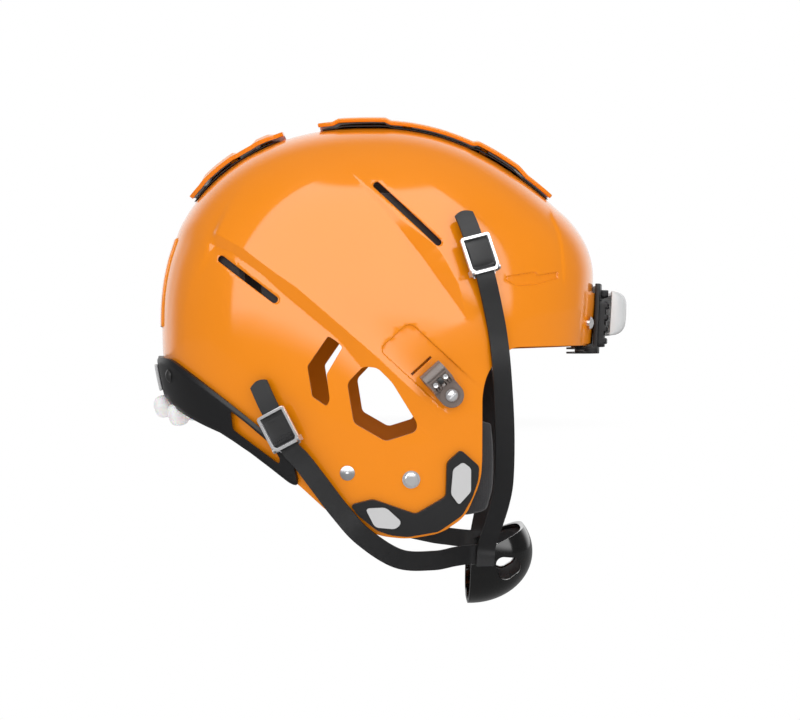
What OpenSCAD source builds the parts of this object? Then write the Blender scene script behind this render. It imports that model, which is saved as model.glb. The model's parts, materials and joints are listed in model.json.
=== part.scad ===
// Football helmet with floating crown plates, chin strap and liner, without its face guard.
// Millimetres. +X is forward, +Y is the wearer's left, +Z is up.
// The origin is the middle of the head, a little below the brow edge.

/* [Shell] */
// Length of the shell from the back of the head to the brow
shell_length = 297; // [289:1:305]
// Width of the shell over the ears
shell_width = 236; // [228:1:244]
// Height of the crown over the origin
crown_height = 161; // [156:1:166]
// Thickness of the shell wall
shell_wall = 3.6; // [3:0.1:4.4]
// Height of the fullest level over the origin
belt_height = 25; // [20:1:30]
// How far the middle of the shell lies behind the origin
shell_back = 17; // [14:1:20]
// How much the sides draw in at the jaw
jaw_tuck = 10; // [6:1:14]
// How much the back draws in at the nape
nape_tuck = 6; // [3:1:9]
// How far the brow bulges out of the dome
brow_bulge = 9.5; // [8:0.5:11]
// Half the width of the moulded ridges
ridge_radius = 3.4; // [3:0.1:4]
// How far the moulded ridges stand out
ridge_height = 1.5; // [1:0.1:2]

/* [Face opening and jaw] */
// Height of the brow edge
brow_edge = 8; // [6:1:10]
// Where the front edge of the jaw stands
jaw_front = 52; // [50:1:54]
// Depth of the jaw below the origin
jaw_depth = 113; // [111:1:115]
// Depth of the nape edge below the origin
nape_depth = 22; // [20:1:24]
// Rounding of the corners of the shell edge
edge_rounding = 6; // [4:1:8]

/* [Vents] */
// Width of the slot vents
slot_width = 4.6; // [3.5:0.1:6]
// Rounding of the corners of the large ear hole
ear_rounding = 2.4; // [1.6:0.2:3]
// Rounding of the corners of the bent ear hole
chevron_rounding = 1; // [0.5:0.1:1.5]

/* [Crown plates] */
// Half the width of the front crown plate
front_plate_half = 36; // [32:1:38]
// Half the width of the rear crown plate
rear_plate_half = 30; // [27:1:33]
// Thickness of the crown plates
plate_thick = 2.8; // [2.4:0.1:3.2]
// How far the raised ends of the plates stand out
plate_raise = 1.8; // [1:0.1:2]
// Gap between the shell and the plates
plate_gap = 2.7; // [2.4:0.1:3.2]
// Thickness of the cushions under the plates
plate_cushion_thick = 0.8; // [0.5:0.1:0.9]
// Radius of the posts that carry the plates
post_radius = 3; // [2.5:0.1:3.5]
// Travel of the plates when pressed
plate_travel = 1.2; // [0.8:0.1:1.2]

/* [Jaw guard] */
// Thickness of the jaw guard
guard_thick = 2.6; // [2:0.1:3.2]
// Band of shell that shows outside the jaw guard
guard_inset = 1.6; // [1:0.1:2.5]
// Thickness of the bare badges
badge_thick = 1; // [0.8:0.1:1.4]

/* [Bumpers] */
// Thickness of the front bumper
front_bumper_thick = 8.5; // [7.5:0.5:10]
// Half the angle that the front bumper spans
front_bumper_angle = 12.5; // [11.5:0.5:13]
// Height of the front bumper above the brow edge
front_bumper_height = 44; // [40:1:46]
// How far the moulded boss under the front bumper stands out of the shell
brow_boss = 3; // [2.5:0.5:4]
// How far the bare front plate bulges
front_plate_bulge = 10; // [8:1:12]
// Thickness of the rear bumper
rear_bumper_thick = 3.6; // [3:0.1:4.4]
// Thickness of the bare rear plate
rear_plate_thick = 2; // [1.5:0.1:2.5]

/* [Face guard clips] */
// Length of a side clip
clip_length = 29; // [27:0.5:31]
// Width of a side clip
clip_width = 13; // [12:0.5:14]
// Radius of the bore for the face guard wire
wire_radius = 3.2; // [3:0.1:3.5]
// Radius of the shank of the quarter-turn bolt
bolt_radius = 2.4; // [2:0.1:2.6]
// Radius of the head of the quarter-turn bolt
bolt_head_radius = 4; // [3.6:0.1:4.4]

/* [Studs and snaps] */
// Radius of the dome of a strap stud
stud_radius = 4.3; // [4:0.1:4.6]
// Height of a strap stud over the shell
stud_height = 2.8; // [2.4:0.1:3]
// Radius of a snap cap
cap_radius = 7.6; // [7:0.1:8]
// Height of a snap cap
cap_height = 4.2; // [4:0.1:4.6]

/* [Chin strap] */
// Width of the strap webbing
strap_width = 13; // [12:0.5:14]
// Thickness of the strap webbing
strap_thick = 1.4; // [1:0.1:1.8]
// Length of a buckle base plate
buckle_length = 26; // [23:0.5:28]
// Thickness of the buckle plates
buckle_plate = 1; // [0.8:0.1:1.4]
// Radius of the buckle pins
pin_radius = 0.9; // [0.7:0.1:1.1]

/* [Chin cup] */
// How far the chin cup reaches forward
cup_reach = 44; // [42:1:48]
// Depth of the chin cup
cup_depth = 36; // [34:1:40]
// Half the width of the chin cup
cup_half = 44; // [42:1:45]
// Wall of the chin cup
cup_wall = 3; // [2.4:0.1:3.6]
// Thickness of the foam in the chin cup
cup_pad_thick = 6; // [4:0.5:8]

/* [Liner] */
// Thickness of the crown pad
crown_pad_thick = 22; // [18:1:26]
// Thickness of the front pad
front_pad_thick = 20; // [16:1:24]
// Thickness of the back pad
back_pad_thick = 20; // [16:1:24]
// Thickness of the side pads
side_pad_thick = 18; // [14:1:22]
// Thickness of the jaw pads
jaw_pad_thick = 24; // [20:1:28]
// Height of the front and back pads
ring_pad_height = 62; // [58:1:66]
// Height of the side pads
side_pad_height = 60; // [56:1:64]
// Length of the crown pad
crown_pad_length = 148; // [140:1:152]
// Width of the crown pad
crown_pad_width = 120; // [112:1:124]
// Width of the jaw pads
jaw_pad_width = 40; // [36:1:42]
// Radius of the lobes of the nape cushion
lobe_radius = 7.8; // [7.2:0.1:8.2]

/* [Hidden] */
$fn = 40;

// Clearance between pieces that seat on a curve, and of a shaft in its bore
clear = 0.3;
running = 0.08;
bore_sides = 16;
// Exponents of the dome at its sides, ahead and behind, of its plan and of the chin cup
side_power = 2.15;
front_power = 1.95;
rear_power = 2.27;
plan_power = 2.3;
cup_power = 3;
mid_x = -shell_back;
half_length = shell_length / 2;
half_width = shell_width / 2;
dome_height = crown_height - belt_height;
skirt = -jaw_depth - 12;
rear_end = mid_x - half_length;
brow_bulge_height = 80;
brow_bulge_spread = 35;

// Side view of the shell edge, from the brow back round the jaw to the nape
side_outline = [
    [-220, 240], [220, 240],
    [220, brow_edge + 5], [jaw_front + 18, brow_edge],
    [jaw_front + 4, brow_edge - 14], [jaw_front, brow_edge - 28],
    [jaw_front, 48 - jaw_depth], [jaw_front - 1, 36 - jaw_depth],
    [jaw_front - 10.5, 14 - jaw_depth], [jaw_front - 26, 3.5 - jaw_depth],
    [jaw_front - 47, -jaw_depth], [jaw_front - 65, 2 - jaw_depth],
    [-44, 16 - jaw_depth], [-65, 35 - jaw_depth],
    [rear_end + 77, -39 - nape_depth], [rear_end + 54, -24.5 - nape_depth],
    [rear_end + 33, -14.5 - nape_depth], [rear_end + 6, -nape_depth], [-220, -nape_depth]
];
hex_hole = [[-23, -4], [-33, -14.5], [-29, -39.5], [-9, -51], [10, -45], [11, -40], [-5, -14], [-14, -5]];
chevron_hole = [[-45, 15], [-58, -4], [-55, -23], [-46, -29], [-44, -25], [-46, -9], [-36, 8], [-40, 12]];
front_slot = [[-15, 112], [24, 74]];
rear_slot = [[-115, 65], [-79, 38]];
long_ridge = [[-128, 88], [-100, 66], [-63, 38], [-33, 15], [-6, -7], [16, -30], [31, 58 - jaw_depth]];
short_ridge = [[-36, 127], [-13, 102], [19, 71], [34, 45], [42, 26]];
clip_place = [26.5, -16];
clip_turn = 48;
spare_stud_place = [jaw_front - 45, 38 - jaw_depth];
rivet_place = [jaw_front - 85, 42 - jaw_depth];
upper_snap = [48, 64];
upper_turn = -15;
lower_snap = [-73, -43];
lower_turn = -27;

// Tilt of the plates' sliding axes from the vertical, forward and back
front_axis = 17;
rear_axis = -37;
// Shares of the half length of the shell: rows of each plate, and which of them are raised
front_plate_rows = [-0.265, -0.197, -0.169, -0.054, 0.048, 0.075, 0.17, 0.265, 0.36, 0.449, 0.476, 0.565, 0.66, 0.7,
    0.76, 0.816];
front_plate_raised = [0, 0, 1, 1, 1, 0, 0, 0, 0, 0, 1, 1, 1, 0, 0, 0];
rear_plate_rows = [-0.857, -0.81, -0.786, -0.72, -0.66, -0.636, -0.575, -0.551, -0.5, -0.46, -0.429];
rear_plate_raised = [0, 0, 1, 1, 1, 0, 0, 1, 1, 0, 0];
rear_post_x = mid_x - 0.646 * half_length;
front_posts = [for (x = [mid_x + 0.143 * half_length, mid_x + 0.4966 * half_length], y = [18, -18]) [x, y]];
rear_posts = [[rear_post_x, 14], [rear_post_x, -14]];

// Points of the jaw guard and of its bare badges: back from the jaw edge, and up from its bottom
guard_outline = [
    [13.6, 56.4], [22.4, 48.5], [23, 27], [42, 16], [69, 25.5], [83, 22], [85, -4], [-4, -4], [-4, 46], [2.3, 46]
];
front_badge = [[12.4, 48.8], [7.3, 45], [7.3, 30], [14.9, 21.8], [19.9, 28.7], [18.6, 44.4]];
low_badge = [[73.7, 19.9], [60.8, 20.5], [50.7, 11.1], [54.5, 6.7], [67.7, 7.9]];
rear_bumper_angle = 70.5;
bumper_window = [[-108, -32.2], [-106.7, -44.3], [-76.2, -65.8], [-75.4, -62.4], [-81.5, -53], [-97, -40.3]];
screw_radius = 2;
rear_screw_angles = [154, 206];
rear_screw_level = -10;
front_screw_angles = [-17.5, 17.5];
brow_boss_angle = 21;
front_screw_level = 25;
front_plate_angle = 11;
clip_foot = 3.6;
bolt_offset = 6.5 - clip_length / 2;
cup_x = 48;
cup_z = -19 - jaw_depth;
// Outline of the vent in the chin cup, from its centre
cup_vent = [[16, -4.4], [19.5, -0.3], [31.7, -1.7], [34.4, -7], [33, -11.8], [24.9, -17.2], [18.8, -15]];

// How far the brow boss stands out at the angle t
function boss(t) = brow_boss * max(0, 1 - pow(t / brow_boss_angle, 2));

// The bolt sits near the low end of the clip
clip_bolt = clip_place - bolt_offset * [cos(clip_turn), -sin(clip_turn)];

// Bushes of the plate posts: how far they reach inside the shell, and their flange
grommet_radius = post_radius + 2;
grommet_drop = 2.4;
grommet_flange = 1.4;
post_length = shell_wall + grommet_drop + grommet_flange + clear;
plate_screw_thick = 2;

// Gaps from the inside of the shell to the nuts, the pads and the nape cushion
nut_gap = 1.2;
nut_thick = 1.6;
pad_gap = 0.7;
brow_pad_gap = 4.9;
nape_gap = 1.5;
nape_thick = 8;
// Lobes of the nape cushion: angle from the back, and distance outside the shell surface
nape_lobes = [[8.5, 6.5], [21, 2.5]];

function bump(u) = exp(-u * u);
function spow(v, p) = sign(v) * pow(abs(v), 2 / p);
function unit(v) = v / norm(v);
function mix(a, b, t) = a + (b - a) * t;

// Size of a level of the dome, 1 at the belt and 0 at the crown
function dome(z, d, power) =
    z <= belt_height ? 1
    : pow(max(0, 1 - pow((z - belt_height) / (dome_height + d), power)), 1 / power);

// Half length and half width of the level z of the surface d outside the shell
function reach(z, d, ahead) =
    (half_length + d) * dome(z, d, ahead ? front_power : rear_power)
    + (ahead ? brow_bulge * bump((z - brow_bulge_height) / brow_bulge_spread)
        : -nape_tuck * pow(max(0, belt_height - z) / (belt_height + nape_depth), 2));
function spread(z, d) =
    (half_width + d) * dome(z, d, side_power)
    - jaw_tuck * pow(max(0, belt_height - z) / (belt_height + jaw_depth), 2);

// Point of that surface at the angle t round the level z
function ring_point(t, z, d) = [
    mid_x + reach(z, d, cos(t) > 0) * spow(cos(t), plan_power),
    spread(z, d) * spow(sin(t), plan_power),
    z
];

// Half width of that surface at x, z
function side_y(x, z, d = 0) =
    spread(z, d) * pow(max(0, 1 - pow(abs(x - mid_x) / reach(z, d, x > mid_x), plan_power)), 1 / plan_power);

// Its height at x, y, found by halving the span between the belt and the crown
function beyond(x, y, z, d) =
    pow(abs(x - mid_x) / reach(z, d, x > mid_x), plan_power) + pow(abs(y) / spread(z, d), plan_power) > 1;
function halved(x, y, d, low, high, steps) =
    let (middle = (low + high) / 2)
    steps == 0 ? middle
    : beyond(x, y, middle, d) ? halved(x, y, d, low, middle, steps - 1)
    : halved(x, y, d, middle, high, steps - 1);
function top_z(x, y, d = 0) = halved(x, y, d, belt_height, crown_height + d, 22);

function side_point(x, z, d = 0) = [x, side_y(x, z, d), z];
function side_normal(x, z) =
    unit(cross(side_point(x, z + 1) - side_point(x, z - 1), side_point(x + 1, z) - side_point(x - 1, z)));
function top_point(x, y, d = 0) = [x, y, top_z(x, y, d)];

// A closed solid between two grids of points of the same size
module slab(a, b) {
    rows = len(a);
    cols = len(a[0]);
    count = rows * cols;
    points = [for (g = [a, b], r = g, p = r) p];
    i0 = floor((rows - 1) / 2);
    j0 = floor((cols - 1) / 2);
    across = cross(a[i0 + 1][j0] - a[i0][j0], a[i0][j0 + 1] - a[i0][j0]);
    turned = across * (a[i0][j0] - b[i0][j0]) < 0;
    function at(s, i, j) = s * count + i * cols + j;
    function two(p, q, r, s) = [[p, q, r], [p, r, s]];
    outer = [for (i = [0:rows - 2], j = [0:cols - 2],
        f = two(at(0, i, j), at(0, i, j + 1), at(0, i + 1, j + 1), at(0, i + 1, j))) f];
    inner = [for (i = [0:rows - 2], j = [0:cols - 2],
        f = two(at(1, i, j), at(1, i + 1, j), at(1, i + 1, j + 1), at(1, i, j + 1))) f];
    ends = [for (i = [0:rows - 2],
        f = concat(
            two(at(0, i, 0), at(0, i + 1, 0), at(1, i + 1, 0), at(1, i, 0)),
            two(at(0, i + 1, cols - 1), at(0, i, cols - 1), at(1, i, cols - 1), at(1, i + 1, cols - 1)))) f];
    sides = [for (j = [0:cols - 2],
        f = concat(
            two(at(0, 0, j + 1), at(0, 0, j), at(1, 0, j), at(1, 0, j + 1)),
            two(at(0, rows - 1, j), at(0, rows - 1, j + 1), at(1, rows - 1, j + 1), at(1, rows - 1, j)))) f];
    faces = concat(outer, inner, ends, sides);
    polyhedron(points, turned ? [for (f = faces) [f[2], f[1], f[0]]] : faces);
}

// A prism along Y over a drawing of the side view
module through(length = 400) {
    rotate([90, 0, 0])
        linear_extrude(length, center = true)
            children();
}

// The same on the left side only
module through_left() {
    translate([0, 100, 0])
        through(200)
            children();
}

module rounded(r) {
    offset(r = r, $fn = 12)
        offset(r = -2 * r, $fn = 12)
            offset(r = r, $fn = 12)
                children();
}

module soft_corners(points, r) {
    offset(r = r, $fn = 16)
        offset(delta = -r)
            polygon(points);
}

// Local frame on the left side: x back, y up, z out of the shell
module on_side(place, turn = 0, d = 0) {
    n = side_normal(place[0], place[1]);
    translate(side_point(place[0], place[1]) + d * n)
        rotate([0, acos(n[2]), atan2(n[1], n[0])])
            rotate([0, 0, 90 + turn])
                children();
}

module mirrored(side) {
    mirror([0, side < 0 ? 1 : 0, 0])
        children();
}

// The dome as a solid, d outside the shell
module dome_solid(d, low) {
    around = 48;
    skirt_levels = [low, -88, -60, -40, -24, -8, 9];
    dome_levels = [for (e = [0:9:81]) belt_height + (dome_height + d) * sin(e)];
    levels = concat(skirt_levels, dome_levels);
    rings = [for (z = levels) [for (k = [0:around - 1]) ring_point(360 * k / around, z, d)]];
    count = len(levels) * around;
    points = concat([for (r = rings, p = r) p], [[mid_x, 0, crown_height + d], [mid_x, 0, low]]);
    walls = [for (i = [0:len(levels) - 2], k = [0:around - 1],
        f = [
            [i * around + k, (i + 1) * around + k, (i + 1) * around + (k + 1) % around],
            [i * around + k, (i + 1) * around + (k + 1) % around, i * around + (k + 1) % around]
        ]) f];
    last = (len(levels) - 1) * around;
    top = [for (k = [0:around - 1]) [last + k, count, last + (k + 1) % around]];
    bottom = [for (k = [0:around - 1]) [k, (k + 1) % around, count + 1]];
    polyhedron(points, concat(walls, top, bottom));
}

module ridge(line) {
    for (i = [0:len(line) - 2])
        hull()
            for (p = [line[i], line[i + 1]])
                translate(side_point(p[0], p[1], ridge_height - ridge_radius))
                    sphere(ridge_radius, $fn = 8);
}

module slot_cut(line) {
    through()
        hull()
            for (p = line)
                translate(p)
                    circle(d = slot_width, $fn = 16);
}

module shell() {
    color("darkorange")
        difference() {
            intersection() {
                union() {
                    dome_solid(0, skirt);
                    front_layer(brow_boss_angle, [brow_edge + 3, brow_edge + 38], -1.2, 0, 0, 1, 16, 4);
                    for (side = [-1, 1], line = [long_ridge, short_ridge])
                        mirrored(side)
                            ridge(line);
                }
                through()
                    rounded(edge_rounding)
                        polygon(side_outline);
            }
            dome_solid(-shell_wall, skirt - 5);
            through() {
                soft_corners(hex_hole, ear_rounding);
                soft_corners(chevron_hole, chevron_rounding);
            }
            for (line = [front_slot, rear_slot])
                slot_cut(line);
            for (side = [-1, 1])
                mirrored(side)
                    for (place = [clip_bolt, spare_stud_place, rivet_place, upper_snap, lower_snap])
                        on_side(place)
                            cylinder(r = bolt_radius + clear, h = 30, center = true, $fn = bore_sides);
            for (t = front_screw_angles)
                on_ring(t, front_screw_level)
                    cylinder(r = screw_radius + clear, h = 30, center = true, $fn = bore_sides);
            for (t = rear_screw_angles)
                on_ring(t, rear_screw_level)
                    cylinder(r = screw_radius + clear, h = 30, center = true, $fn = bore_sides);
            for (p = front_posts)
                plate_bore(p, front_axis, grommet_radius + clear, bore_sides);
            for (p = rear_posts)
                plate_bore(p, rear_axis, grommet_radius + clear, bore_sides);
        }
}

// Frame of a crown post: z along the sliding axis, origin on the shell surface
module at_post(p, axis) {
    translate(top_point(p[0], p[1]))
        rotate([0, axis, 0])
            children();
}

module plate_bore(p, axis, r, sides = 40) {
    at_post(p, axis)
        cylinder(r = r, h = 40, center = true, $fn = sides);
}

// Plan half width of a crown plate at u, from 0 at its back to 1 at its front
function plate_side(half, u) = half * (1 - 0.28 * pow(abs(2 * u - 1), 6));

// A sheet over the crown: rows are shares of the half length, and lifts raise some of them
module crown_patch(rows, half, low, high, lifts, inset = 0) {
    cols = 6;
    last = len(rows) - 1;
    function share(i) = (rows[i] - rows[0]) / (rows[last] - rows[0]);
    function along(i) = mid_x + half_length * rows[i] + inset * (1 - 2 * share(i));
    function place(i, j, d) =
        top_point(along(i), (2 * j / cols - 1) * plate_side(half - inset, share(i)), d);
    slab(
        [for (i = [0:last]) [for (j = [0:cols]) place(i, j, high + plate_raise * lifts[i])]],
        [for (i = [0:last]) [for (j = [0:cols]) place(i, j, low)]]
    );
}

module crown_plate(rows, lifts, half, posts, axis) {
    color("orange") {
        crown_patch(rows, half, plate_gap, plate_gap + plate_thick, lifts);
        for (p = posts)
            at_post(p, axis)
                translate([0, 0, -post_length])
                    cylinder(r = post_radius, h = post_length + plate_gap + plate_thick - 1);
    }
}

module crown_plate_front() {
    crown_plate(front_plate_rows, front_plate_raised, front_plate_half, front_posts, front_axis);
}

module crown_plate_rear() {
    crown_plate(rear_plate_rows, rear_plate_raised, rear_plate_half, rear_posts, rear_axis);
}

module plate_cushion(rows, half, posts, axis) {
    color("dimgray")
        difference() {
            crown_patch(rows, half, clear, clear + plate_cushion_thick, [for (r = rows) 0], 4);
            for (p = posts)
                plate_bore(p, axis, grommet_radius + 1.5);
        }
}

module plate_cushion_front() {
    plate_cushion(front_plate_rows, front_plate_half, front_posts, front_axis);
}

module plate_cushion_rear() {
    plate_cushion(rear_plate_rows, rear_plate_half, rear_posts, rear_axis);
}

module grommet() {
    difference() {
        union() {
            translate([0, 0, -shell_wall - grommet_drop])
                cylinder(r = grommet_radius, h = shell_wall + grommet_drop - 0.8);
            translate([0, 0, -shell_wall - grommet_drop - grommet_flange])
                cylinder(r = grommet_radius + 2, h = grommet_flange);
        }
        cylinder(r = post_radius + running, h = 40, center = true);
    }
}

module plate_grommets() {
    color("black") {
        for (p = front_posts)
            at_post(p, front_axis)
                grommet();
        for (p = rear_posts)
            at_post(p, rear_axis)
                grommet();
    }
}

module plate_screw() {
    translate([0, 0, -post_length - plate_screw_thick])
        cylinder(r = post_radius + 1.6, h = plate_screw_thick);
}

module plate_screws_front() {
    color("silver")
        for (p = front_posts)
            at_post(p, front_axis)
                plate_screw();
}

module plate_screws_rear() {
    color("silver")
        for (p = rear_posts)
            at_post(p, rear_axis)
                plate_screw();
}

// Grid of points of the left side at d outside the shell
function side_grid(xs, zs, d, nx, nz) =
    [for (i = [0:nz]) [for (j = [0:nx]) side_point(mix(xs[0], xs[1], j / nx), mix(zs[0], zs[1], i / nz), d)]];

module side_layer(xs, zs, low, high, nx = 8, nz = 6) {
    slab(side_grid(xs, zs, high, nx, nz), side_grid(xs, zs, low, nx, nz));
}

// Frame at the angle t round the level z: z axis out of the shell
function ring_normal(t, z) =
    unit(cross(ring_point(t + 0.5, z, 0) - ring_point(t - 0.5, z, 0),
        ring_point(t, z + 0.5, 0) - ring_point(t, z - 0.5, 0)));

module on_ring(t, z, d = 0) {
    n = ring_normal(t, z);
    translate(ring_point(t, z, 0) + d * n)
        rotate([0, acos(n[2]), atan2(n[1], n[0])])
            rotate([0, 0, 90])
                children();
}

// Layer of the shell between the angles ts and the levels zs
module ring_layer(ts, zs, low, high, nt = 16, nz = 4) {
    function grid(d) =
        [for (i = [0:nz]) [for (j = [0:nt]) ring_point(mix(ts[0], ts[1], j / nt), mix(zs[0], zs[1], i / nz), d)]];
    slab(grid(high), grid(low));
}

module jaw_guard(side) {
    color("dimgray")
        mirrored(side)
            intersection() {
                side_layer([jaw_front - 88, jaw_front + 1], [-jaw_depth, 60 - jaw_depth], clear, clear + guard_thick);
                through_left()
                    intersection() {
                        offset(delta = -guard_inset)
                            rounded(edge_rounding)
                                polygon(side_outline);
                        polygon([for (p = guard_outline) [jaw_front - p[0], p[1] - jaw_depth]]);
                    }
            }
}

module badges(side) {
    color("lightgray")
        mirrored(side)
            for (outline = [front_badge, low_badge])
                intersection() {
                    side_layer([jaw_front - 76, jaw_front - 5], [2 - jaw_depth, 52 - jaw_depth],
                        2 * clear + guard_thick, 2 * clear + guard_thick + badge_thick);
                    through_left()
                        polygon([for (p = outline) [jaw_front - p[0], p[1] - jaw_depth]]);
                }
}

// Upper and lower edge of the rear bumper at the angle a from the back
function rear_top(a) = 3 - 68 * pow(abs(a) / rear_bumper_angle, 2.3);
function rear_low(a) =
    -nape_depth - 2
    - lookup(abs(a) / rear_bumper_angle,
        [[0, 0], [0.14, 2], [0.28, 6], [0.467, 13.8], [0.664, 22.6], [0.7285, 27.7], [0.806, 35], [0.882, 43.8],
        [0.955, 53], [1, 57]]);

module rear_bumper() {
    nt = 40;
    nz = 4;
    function angle(j) = rear_bumper_angle * (2 * j / nt - 1);
    function grid(d) =
        [for (i = [0:nz]) [for (j = [0:nt])
            ring_point(180 + angle(j), mix(rear_low(angle(j)), rear_top(angle(j)), i / nz), d)]];
    color("black")
        difference() {
            slab(grid(clear + rear_bumper_thick), grid(clear));
            through()
                polygon(bumper_window);
            for (t = rear_screw_angles)
                on_ring(t, rear_screw_level)
                    cylinder(r = screw_radius + clear, h = 30, center = true);
        }
}

module rear_plate() {
    color("lightgray")
        ring_layer([168, 192], [-nape_depth + 1, -3],
            2 * clear + rear_bumper_thick, 2 * clear + rear_bumper_thick + rear_plate_thick, 8, 3);
}

// Layer of the brow whose inside and outside follow the boss by those shares
module front_layer(half, zs, low, high, inside = 1, outside = 1, nt = 12, nz = 4) {
    function grid(d, share) =
        [for (i = [0:nz]) [for (j = [0:nt])
            let (t = half * (2 * j / nt - 1))
            ring_point(t, mix(zs[0], zs[1], i / nz), d + share * boss(t))]];
    slab(grid(high, outside), grid(low, inside));
}

// An upright on the boss, ribs on it, a foot of two blades under the brow and a flange inside the shell
module front_bumper() {
    a = front_bumper_angle;
    low = brow_edge - 3.5;
    upright = 3.2;
    color("black")
        difference() {
            union() {
                front_layer(a, [low, brow_edge + front_bumper_height], clear, clear + upright);
                front_layer(a - 1, [brow_edge + 1, brow_edge + 32], clear + 1, clear + front_bumper_thick - 1.5);
                for (z = [brow_edge + 3, brow_edge + 11, brow_edge + 19, brow_edge + 27])
                    front_layer(a - 1, [z, z + 4], clear + 1, clear + front_bumper_thick, nz = 1);
                front_layer(a - 5, [brow_edge + 35, brow_edge + 40], clear + 1, clear + upright + 4, nz = 1);
                front_layer(a, [low, low + 4.5], -2.5, clear + 1, 0, 1, nz = 1);
                for (z = [low, low + 3.1])
                    ring_layer([-a, a], [z, z + 1.4], -shell_wall - 6, -2, 12, 1);
                ring_layer([-a, a], [low + 3.1, low + 9], -shell_wall - 2.6, -shell_wall - 1, 12, 1);
                ring_layer([-brow_boss_angle, brow_boss_angle], [low + 7, front_screw_level + 6],
                    -shell_wall - 2.6, -shell_wall - 1, 16, 2);
            }
            for (t = front_screw_angles)
                on_ring(t, front_screw_level)
                    cylinder(r = screw_radius + clear, h = 50, center = true);
        }
}

function crown01(u, v) = pow(max(0, (1 - pow(abs(u), 4)) * (1 - pow(abs(v), 4))), 0.5);

module front_plate() {
    nt = 14;
    nz = 8;
    base = 2 * clear + front_bumper_thick;
    zs = [brow_edge + 9, brow_edge + 39];
    function grid(thick, bulge) =
        [for (i = [0:nz]) [for (j = [0:nt])
            let (u = 2 * j / nt - 1, v = 2 * i / nz - 1, t = front_plate_angle * u)
            ring_point(t, mix(zs[0], zs[1], i / nz), boss(t) + base + thick + bulge * crown01(u, v))]];
    color("white")
        slab(grid(2, front_plate_bulge), grid(0, 0));
}

// A screw with a domed head at d outside the shell and a nut at the gap inside it
module bumper_screw(t, z, d, head_radius, gap) {
    on_ring(t, z) {
        translate([0, 0, -shell_wall - gap - nut_thick])
            cylinder(r = screw_radius, h = shell_wall + gap + nut_thick + d);
        translate([0, 0, d])
            dome_head(head_radius, 2);
        translate([0, 0, -shell_wall - gap - nut_thick])
            cylinder(r = screw_radius + 1.6, h = nut_thick);
    }
}

module dome_head(r, h) {
    intersection() {
        translate([0, 0, h - (r * r + h * h) / (2 * h)])
            sphere((r * r + h * h) / (2 * h));
        cylinder(r = r, h = h + 1);
    }
}

module front_bumper_screws() {
    color("silver")
        for (t = front_screw_angles)
            bumper_screw(t, front_screw_level, boss(t) + 1.2, 4.4, nut_gap + 2);
}

module rear_bumper_screws() {
    color("silver")
        for (t = rear_screw_angles)
            bumper_screw(t, rear_screw_level, rear_bumper_thick + 2 * clear, 4.4, nut_gap);
}

module side_clip(side) {
    loop = wire_radius + 2;
    half = clip_length / 2;
    color([0.5, 0.46, 0.44, 0.8])
        mirrored(side)
            on_side(clip_place, clip_turn, clear)
                difference() {
                    union() {
                        rotate([90, 0, 0])
                            linear_extrude(clip_width, center = true)
                                polygon([[6 - half, 0], [half - loop, 0], [half - loop, 2 * loop], [2.5, 2 * loop],
                                    [-1, clip_foot + 2.4], [-1.5, clip_foot], [6 - half, clip_foot]]);
                        translate([half - loop, 0, loop])
                            rotate([90, 0, 0])
                                cylinder(r = loop, h = clip_width, center = true);
                        translate([bolt_offset, 0, 0])
                            cylinder(r = clip_width / 2, h = clip_foot);
                    }
                    translate([half - loop, 0, loop])
                        rotate([90, 0, 0])
                            cylinder(r = wire_radius, h = clip_width + 2, center = true);
                    translate([bolt_offset, 0, -1])
                        cylinder(r = bolt_radius + running, h = 20);
                    translate([bolt_offset, 0, clip_foot])
                        cylinder(r = bolt_head_radius + 2 * clear, h = 20);
                    for (x = [half - loop - 1, half - loop - 3.4, half - loop - 5.8])
                        translate([x, 0, 2 * loop])
                            cube([1.1, clip_width - 3, 1.6], center = true);
                }
}

module quarter_turn(side) {
    color("silver")
        mirrored(side)
            on_side(clip_place, clip_turn, clear)
                translate([bolt_offset, 0, 0])
                    difference() {
                        union() {
                            translate([0, 0, -shell_wall - 5.5])
                                cylinder(r = bolt_radius, h = shell_wall + 5.5 + clip_foot + clear);
                            translate([0, 0, clip_foot + clear])
                                dome_head(bolt_head_radius, 2.4);
                            translate([0, 0, -shell_wall - 3.4])
                                rotate([90, 0, 0])
                                    cylinder(r = 0.9, h = 2 * bolt_radius + 2.4, center = true);
                        }
                        translate([0, 0, clip_foot + 2.6])
                            cube([1, 5, 2.4], center = true);
                    }
}

module clip_nuts() {
    color("gray")
        for (side = [-1, 1])
            mirrored(side)
                on_side(clip_place, clip_turn, clear)
                    translate([bolt_offset, 0, -shell_wall - clear - nut_gap])
                        difference() {
                            union() {
                                translate([0, 0, -7])
                                    cylinder(r = 5.6, h = 7);
                                translate([0, 0, -1.2])
                                    cylinder(r = 8, h = 1.2);
                            }
                            translate([0, 0, -5.6])
                                cylinder(r = 4.2, h = 20);
                        }
}

module stud() {
    rotate_extrude()
        polygon([[0, -shell_wall - 2], [5, -shell_wall - 2], [5, -shell_wall - 0.7], [2.2, -shell_wall - 0.7],
            [2.2, 0.2], [5.6, 0.2], [5.6, 0.9], [3.5, 0.9], [3.5, 1.2],
            [stud_radius, 1.4], [stud_radius, stud_height - 0.6], [stud_radius - 0.6, stud_height - 0.2],
            [stud_radius - 1.8, stud_height], [0, stud_height]]);
}

module spare_stud(side) {
    color("silver")
        mirrored(side)
            on_side(spare_stud_place)
                stud();
}

module strap_studs() {
    color("silver")
        for (side = [-1, 1], place = [upper_snap, lower_snap])
            mirrored(side)
                on_side(place)
                    stud();
}

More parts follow.
